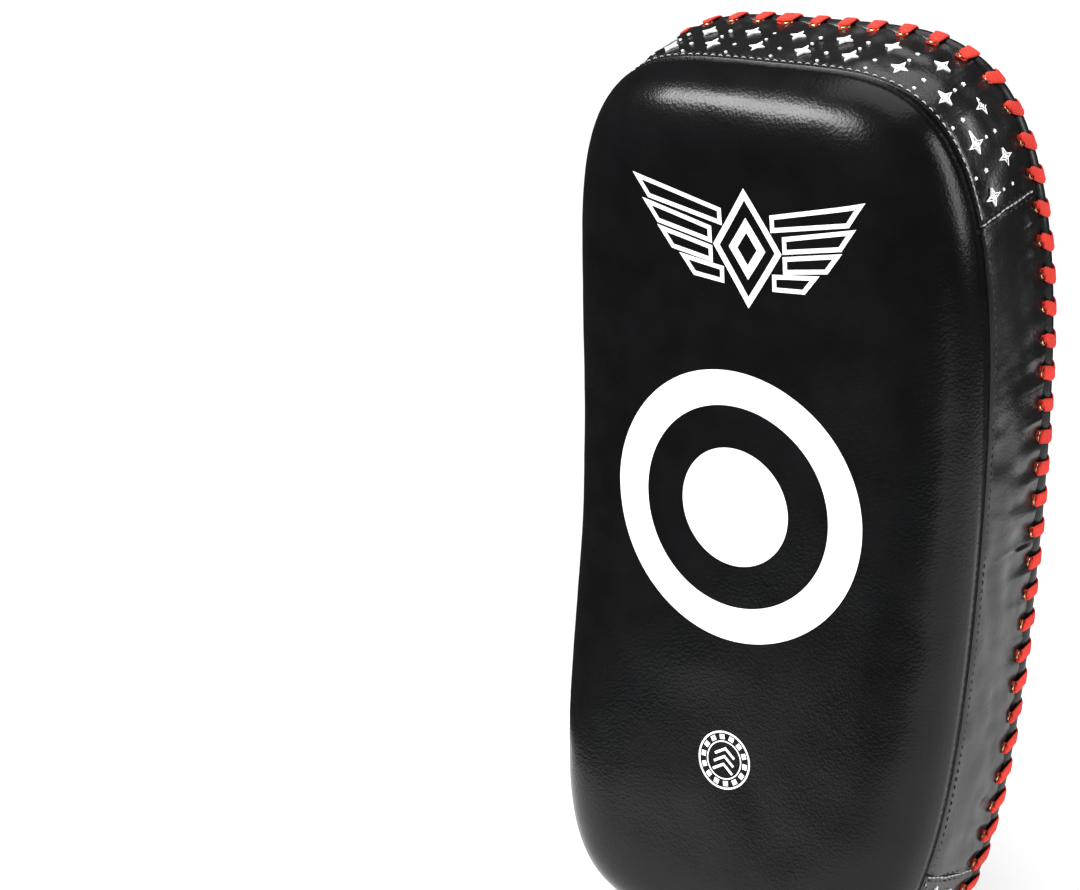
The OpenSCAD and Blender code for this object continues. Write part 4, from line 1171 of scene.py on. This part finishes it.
SIDE[0] = -1.0   # the straps close towards -X
for un, zc, k in (("upper", 238.0, 1.0), ("lower", 118.0, 1.25)):
    A = arch(k)
    nA = normals2(A)
    sb, fb, rb = un + "_strap", un + "_flap", un + "_ring"
    # padded cushion
    N = len(A)
    f = np.linspace(0, 1, N)
    t = 10.6 * np.interp(f, [0, 0.05, 0.12, 0.93, 0.98, 1], [0.62, 0.82, 1, 1, 0.85, 0.62])
    cpath = A - nA * (10.8 / 2)
    pile = Pile()
    strap_sweep(pile, zc, cpath, t, np.interp(f, [0, 0.03, 0.97, 1], [59, 61, 61, 59]), 4.6, bulge_in=1.3, wob=0.55, seed=70 + k)
    o = pile.make(un + "_cushion", [M["gloss"]])
    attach(o, sb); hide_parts(un + "_strap_cushion")
    pile = Pile()
    for zz in (-29.6, 29.6):
        L, nl = line_on(zc, part(A, 0.25, 12.8), -3.0, zz)
        pile.loft(tube(resample(L, 170), 1.45, 10))
    o = pile.make(un + "_cushion_piping", [M["leather"]])
    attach(o, sb)
    pile = Pile()
    for zz in (-25.6, 25.6):
        L, nl = line_on(zc, part(A, 0.3, 12.6), -11.35, zz)
        stitch_run(pile, L, -nl, 2.8, 1.2, 0.3, 0.0)
    o = pile.make(un + "_cushion_thread", [M["thread"]])
    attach(o, sb)
    # strap layer over the cushion
    B = part(A, 0, 11)
    bp = B + normals2(B) * 1.6
    fb_ = np.linspace(0, 11, len(B))
    pile = Pile()
    strap_sweep(pile, zc, bp, TH - 0.1, np.interp(fb_, [0, 8.8, 10.3, 11], [55.6, 55.6, 39, 38.6]), 0.9, wob=0.2, seed=80 + k)
    o = pile.make(un + "_band", [M["leather"]])
    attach(o, sb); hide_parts(un + "_strap_band")
    pile = Pile()
    for zz in (-24.8, 24.8):
        L, nl = line_on(zc, part(A, 0.4, 3.0), 2.85, zz)
        stitch_run(pile, L, nl, 2.8, 1.2, 0.3, 0.0)
    o = pile.make(un + "_band_thread", [M["thread"]])
    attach(o, sb)
    # loop tape on the band, hook tape under the flap
    for nm, a, b, off, body, node in (("loop_tape", 3.0, 9.0, 3.75, sb, "_loop_tape"), ("hook_tape", 3.333, 8.667, 5.25, fb, "_hook_tape")):
        Q = part(A, a, b)
        Q = Q + normals2(Q) * off
        pile = Pile()
        strap_sweep(pile, zc, Q, 1.15, 49.6, 0.45, wob=0.1, seed=90 + k)
        o = pile.make(un + "_" + nm, [M["pile"]])
        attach(o, body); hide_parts(un + node)
    # flap: free end, over the arch and down to the ring's bar
    Q = part(A, 3.0, 9.667)
    Q = Q + normals2(Q) * FM
    down = crspline([Q[-1], [84.6, 98 + 12 * k], [87.9, 101], [TOP[0] + FR, TOP[1] + 1.0]], 8)[1:]
    fp = np.concatenate([Q, down])
    fp = resample(fp, 130)
    s = np.concatenate([[0], np.cumsum(np.linalg.norm(np.diff(fp, axis=0), axis=1))])
    sN = s[-1] - s
    wflap = np.minimum(np.interp(sN, [0, 16, 31], [38.6, 39.5, 55.6]), corner_width(fp, 55.6, 9.0))
    pile = Pile()
    strap_sweep(pile, zc, fp, TH, wflap, 0.9, wob=0.35, seed=100 + k)
    o = pile.make(un + "_flap_leather", [M["leather"]])
    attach(o, fb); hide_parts(un + "_strap_flap")
    # woven binding round the flap's edges and its free end
    pile = Pile()
    keep = sN > 30
    bpth = fp[keep]
    bw = corner_width(fp, 59.6, 11.0)[keep]
    for sgz in (-1, 1):
        sec = []
        base = with_flats(rrect(3.5, 8.0, 1.5), 4)
        n_ = len(bpth)
        secs = np.repeat(base[None], n_, 0).copy()
        secs[..., 1] += (sgz * (bw / 2 - 3.4))[:, None]
        P = on_back(zc, sections(bpth, secs))
        ss = np.concatenate([[0], np.cumsum(np.linalg.norm(np.diff(bpth, axis=0), axis=1))])
        uv = np.stack([np.repeat(ss[:, None] / 6, len(base), 1), np.repeat(base[None, :, 1] / 6, n_, 0)], -1)
        pile.loft(P, uv=uv.reshape(-1, 2))
    nn = normals2(fp)
    tg = unit(fp[6] - fp[0])
    base = with_flats(rrect(3.5, 8.0, 1.5), 4)
    zz = np.linspace(-24.6, 24.6, 40)
    G = np.array([[[fp[0][0] + nn[3][0] * a + tg[0] * (b + 3.4), fp[0][1] + nn[3][1] * a + tg[1] * (b + 3.4), z_] for a, b in base] for z_ in zz])
    uv = np.stack([np.repeat(zz[:, None] / 6, len(base), 1), np.repeat(base[None, :, 1] / 6, 40, 0)], -1)
    pile.loft(on_back(zc, G), uv=uv.reshape(-1, 2))
    o = pile.make(un + "_binding", [M["binding"]])
    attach(o, fb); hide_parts(un + "_flap_binding")
    pile = Pile()
    for zz in (-24.2, 24.2):
        sel = (sN > 34) & (s > 7)
        L, nl = line_on(zc, fp[sel], 1.8, zz)
        stitch_run(pile, L, nl, 2.6, 1.1, 0.3, 0.0)
    for zz in (-17.0, 17.0):
        sel = sN < 32
        L, nl = line_on(zc, fp[sel], 1.25, zz)
        stitch_run(pile, L, nl, 2.6, 1.1, 0.3, 0.0)
    i0 = int(np.argmin(np.abs(s - 9)))
    L, nl = cross_line(zc, fp, i0, 1.8, -23, 23)
    stitch_run(pile, L, nl, 2.6, 1.1, 0.3, 0.0)
    o = pile.make(un + "_flap_thread", [M["thread"]])
    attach(o, fb)
    # the turn round the bar
    aa = np.radians(np.arange(20, -201, -10))
    arcp = TOP + FR * np.stack([np.cos(aa), np.sin(aa)], -1)
    bend_path = np.concatenate([[[TOP[0] + FR - 0.5, TOP[1] + 6.0]], arcp[1:-1], [bp[-1] + (bp[-4] - bp[-1]) * 0.2, bp[-4]]])
    bend_path = resample(crspline(bend_path, 3), 70)
    pile = Pile()
    strap_sweep(pile, zc, bend_path[::-1], TH - 0.3, 38.0, 0.8)
    o = pile.make(un + "_turn", [M["leather"]])
    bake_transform(o)
    # wire ring
    v = TOP - BAR
    Lr = np.linalg.norm(v)
    vx = v / Lr
    c5, hh = 5.0, 24 - 1.6
    outl = []
    for cx, cz, a0 in ((Lr - c5, hh - c5, 0), (c5, hh - c5, 90), (c5, -(hh - c5), 180), (Lr - c5, -(hh - c5), 270)):
        for a in np.linspace(a0, a0 + 90, 9):
            outl.append((cx + c5 * math.cos(math.radians(a)), cz + c5 * math.sin(math.radians(a))))
    outl = np.array(outl)
    outl = resample(np.vstack([outl, outl[:1]]), 140)[:-1]
    C = np.stack([BAR[0] + vx[0] * outl[:, 0], BAR[1] + vx[1] * outl[:, 0], outl[:, 1]], -1)
    pile = Pile()
    pile.loft(on_back(zc, tube(C, 1.6 + 0.03 * np.sin(np.arange(139) * 0.35), 16, up=(vx[1], -vx[0], 0.0), closed=True)), closeI=True, caps=False)
    o = pile.make(un + "_wire_ring", [M["ring"]])
    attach(o, rb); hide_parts(un + "_ring")
    # leather keeper round the ring's lower bar, its tail and patch
    aa = np.radians(np.arange(265, -56, -10))
    kp = np.concatenate([[[84, side_depth(84) + 3.1], [80, side_depth(80) + 3.1], [76.5, side_depth(76.5) + 3.0]], BAR + 5.4 * np.stack([np.cos(aa), np.sin(aa)], -1)])
    kp = resample(crspline(kp, 3), 90)
    pile = Pile()
    strap_sweep(pile, zc, kp[::-1], 1.9, 35.6, 0.7, wob=0.15, seed=110 + k)
    o = pile.make(un + "_keeper", [M["leather"]])
    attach(o, "casing"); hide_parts(un + "_ring_keeper")
    pp = resample(np.array([[x, side_depth(x) + 0.95] for x in np.linspace(62, 86, 20)]), 30)
    pile, thr = Pile(), Pile()
    strap_sweep(pile, zc, pp, 1.3, corner_width(pp, 55.6, 4.0, True, True), 0.5, wob=0.1, seed=120 + k)
    o = pile.make(un + "_patch", [M["leather"]])
    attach(o, "casing"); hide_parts(un + "_keeper_patch")
    for zz in (-24.5, 24.5):
        L, nl = line_on(zc, pp[2:-2], 0.75, zz)
        stitch_run(thr, L, nl, 2.6, 1.1, 0.32, 0.0)
    for i_ in (3, len(pp) - 4):
        L, nl = cross_line(zc, pp, i_, 0.75, -24, 24)
        stitch_run(thr, L, nl, 2.6, 1.1, 0.32, 0.0)
    kt = kp[:14]
    for zz in (-15, 15):
        L, nl = line_on(zc, kt[::-1], 1.05, zz)
        stitch_run(thr, L, nl, 2.4, 1.1, 0.32, 0.0)
    o = thr.make(un + "_patch_thread", [M["thread"]])
    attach(o, "casing")
    # sewn base on the other side
    ap = [[-86, side_depth(86) + 2], [-80, side_depth(80) + 1.9], [-74, side_depth(74) + 1.9], [-69.5, side_depth(69.5) + 3.4], [-65.4, 73]]
    ap = resample(crspline(ap, 6), 46)
    pile, thr = Pile(), Pile()
    strap_sweep(pile, zc, ap, 2.7, corner_width(ap, 57.6, 5.0), 0.8, wob=0.25, seed=130 + k)
    o = pile.make(un + "_base", [M["leather"]])
    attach(o, "casing"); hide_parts(un + "_strap_anchor")
    s2 = np.concatenate([[0], np.cumsum(np.linalg.norm(np.diff(ap, axis=0), axis=1))])
    for sx in (3.0, 13.5):
        i_ = int(np.argmin(np.abs(s2 - sx)))
        L, nl = cross_line(zc, ap, i_, 1.45, -25, 25)
        stitch_run(thr, L, nl, 2.6, 1.1, 0.32, 0.0)
    for zz in (-25, 25):
        L, nl = line_on(zc, ap[(s2 > 3.0) & (s2 < 13.5)], 1.45, zz)
        stitch_run(thr, L, nl, 2.6, 1.1, 0.32, 0.0)
    o = thr.make(un + "_base_thread", [M["thread"]])
    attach(o, "casing")
    rp = [[-72.5, side_depth(72.5) + 3.4], [-68.5, 67.0], [-65.0, 72.0], [-61.2, 76.4], [-57.2, 80.2], [-53.0, 84.6]]
    rp = resample(crspline(rp, 8), 40)
    rp = rp - normals2(rp) * np.interp(np.linspace(0, 1, 40), [0, 0.4, 1], [0, 1.0, 2.6])[:, None]
    pile = Pile()
    tt = np.interp(np.linspace(0, 1, 40), [0, 0.45, 0.85, 1], [3.2, 6.0, 9.6, 9.0])
    strap_sweep(pile, zc, rp, tt, np.interp(np.linspace(0, 1, 40), [0, 0.9, 1], [57.0, 59.5, 58.5]), 4.4, wob=0.5, seed=140 + k)
    o = pile.make(un + "_root", [M["gloss"]])
    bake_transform(o)

# ------------------------------------------------------------------ label on the back
SIDE[0] = 1.0
ZLB = 165.0
def label_surface(X, Z, off):
    X, Z = np.asarray(X, float), np.asarray(Z, float)
    D_ = back_depth(W / 2 - np.abs(X)) + off
    return on_back(ZLB, np.stack([X, D_, Z], -1))
gx = np.linspace(-38, 58, 60)
gz = np.linspace(-28, 28, 36)
GX, GZ = np.meshgrid(gx, gz, indexing="ij")
wv = 0.12 * vnoise(np.stack([GX, GZ], -1), 0.08, 150.0)
top = label_surface(GX, GZ, 0.95 + wv)
bot = label_surface(GX, GZ, 0.35)
nv = 60 * 36
fc = grid_faces(60, 36) + grid_faces(60, 36, base=nv, flipf=True)
for i in range(59):
    for j in (0, 35):
        a, b = i * 36 + j, (i + 1) * 36 + j
        fc.append((a, b, b + nv, a + nv))
for j in range(35):
    for i in (0, 59):
        a = i * 36 + j
        fc.append((a, a + 1, a + 1 + nv, a + nv))
uvl = np.stack([GX.ravel() / 10, GZ.ravel() / 10], -1)
lb = new_mesh("label", np.concatenate([top.reshape(-1, 3), bot.reshape(-1, 3)]), fc, np.concatenate([uvl, uvl]), [M["label"]])
fix_normals(lb)
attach(lb, "casing"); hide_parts("label_patch")


def label_strip(name, pts, w, mat, closed=True, off=1.12):
    A_, B_ = poly_strip(dense(pts, 2.0, closed), w, closed)
    n = len(A_)
    G = np.stack([A_, (A_ + B_) / 2, B_], 0)
    P = label_surface(G[..., 0], G[..., 1], off)
    o = new_mesh(name, P.reshape(-1, 3), grid_faces(3, n, False, closed), np.stack([G[..., 0].ravel() / 10, G[..., 1].ravel() / 10], -1), [mat])
    for p in o.data.polygons:
        if p.normal.y < 0:
            p.flip()
    o.data.update()
    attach(o, "casing")


label_strip("label_frame_outer", [(-34, -24), (54, -24), (54, 24), (-34, 24)], 1.4, M["label_ink"])
label_strip("label_frame_inner", [(-31.5, -21.5), (51.5, -21.5), (51.5, 21.5), (-31.5, 21.5)], 0.6, M["label_blue"])
cir = lambda r, n=60, cx=-8.0, cz=0.0: [(cx + r * math.cos(2 * math.pi * i / n), cz + r * math.sin(2 * math.pi * i / n)) for i in range(n)]
label_strip("label_emblem_ring", cir(13.5), 2.6, M["label_blue"])
label_strip("label_emblem_core", cir(7.0), 4.0, M["label_ink"])
for i, (z_, x1) in enumerate(((11.5, 44), (3.5, 40), (-4.5, 44), (-12.0, 34))):
    label_strip("label_bar_%d" % i, [(14, z_), (x1, z_)], 2.6 if i == 0 else 1.5, M["label_ink"] if i != 1 else M["label_blue"], closed=False)
pile = Pile()
for pts in ([(-36.6, -26.6), (56.6, -26.6)], [(56.6, -26.6), (56.6, 26.6)], [(56.6, 26.6), (-36.6, 26.6)], [(-36.6, 26.6), (-36.6, -26.6)]):
    Dn = dense(pts, 1.5, False)
    Pq = label_surface(Dn[:, 0], Dn[:, 1], 1.1)
    nq = unit(label_surface(Dn[:, 0], Dn[:, 1], 2.1) - Pq)
    stitch_run(pile, Pq, nq, 2.4, 1.1, 0.3, 0.0)
o = pile.make("label_thread", [M["thread"]])
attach(o, "casing")

# ------------------------------------------------------------------ internal foam keeps its place, with a foam finish
for n_ in ("strike_foam", "core_foam", "back_foam", "handle_core", "upper_strap_foam", "lower_strap_foam"):
    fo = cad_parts[n_]
    fo.data.materials.clear()
    fo.data.materials.append(M["foam"])

# ------------------------------------------------------------------ floor and light
bpy.ops.mesh.primitive_plane_add(size=1.1, location=(0.32, 0.2, 0))
floor = bpy.context.object
floor.name = "floor"
fm = rnd_material("floor_paper", (0.86, 0.86, 0.86), 0.6, grain=[("noise", 80, 0.05, 0.0005, "Object")], spec=0.2)
floor.data.materials.append(fm)
world = bpy.data.worlds.new("studio")
bpy.context.scene.world = world
world.use_nodes = True
wt = world.node_tree
bg = wt.nodes.get("Background")
bg.inputs[0].default_value = (1, 1, 1, 1)
lp_ = wt.nodes.new("ShaderNodeLightPath")
g1_, g2_ = wt.nodes.new("ShaderNodeMath"), wt.nodes.new("ShaderNodeMath")
g1_.operation = g2_.operation = "MULTIPLY_ADD"
g1_.inputs[1].default_value, g1_.inputs[2].default_value = -0.78, 0.82
g2_.inputs[1].default_value = 0.3
wt.links.new(lp_.outputs["Is Glossy Ray"], g1_.inputs[0])
wt.links.new(lp_.outputs["Is Camera Ray"], g2_.inputs[0])
wt.links.new(g1_.outputs[0], g2_.inputs[2])
wt.links.new(g2_.outputs[0], bg.inputs[1])
bpy.context.scene.view_settings.view_transform = "Standard"


def area(name, loc, target, sx, sy, power):
    ld = bpy.data.lights.new(name, "AREA")
    ld.shape, ld.size, ld.size_y, ld.energy = "RECTANGLE", sx, sy, power
    lo_ = bpy.data.objects.new(name, ld)
    bpy.context.scene.collection.objects.link(lo_)
    lo_.location = loc
    d_ = Vector(target) - Vector(loc)
    lo_.rotation_euler = d_.to_track_quat("-Z", "Y").to_euler()
    return lo_


area("key_softbox", (-0.74, -1.2, 1.42), (0, 0, 0.3), 1.15, 0.48, 66)
area("side_softbox", (1.5, 0.4, 0.9), (0.1, 0.0, 0.2), 0.4, 1.2, 16)
area("top_softbox", (0.0, 0.1, 2.4), (0, 0, 0.0), 1.8, 1.8, 26)
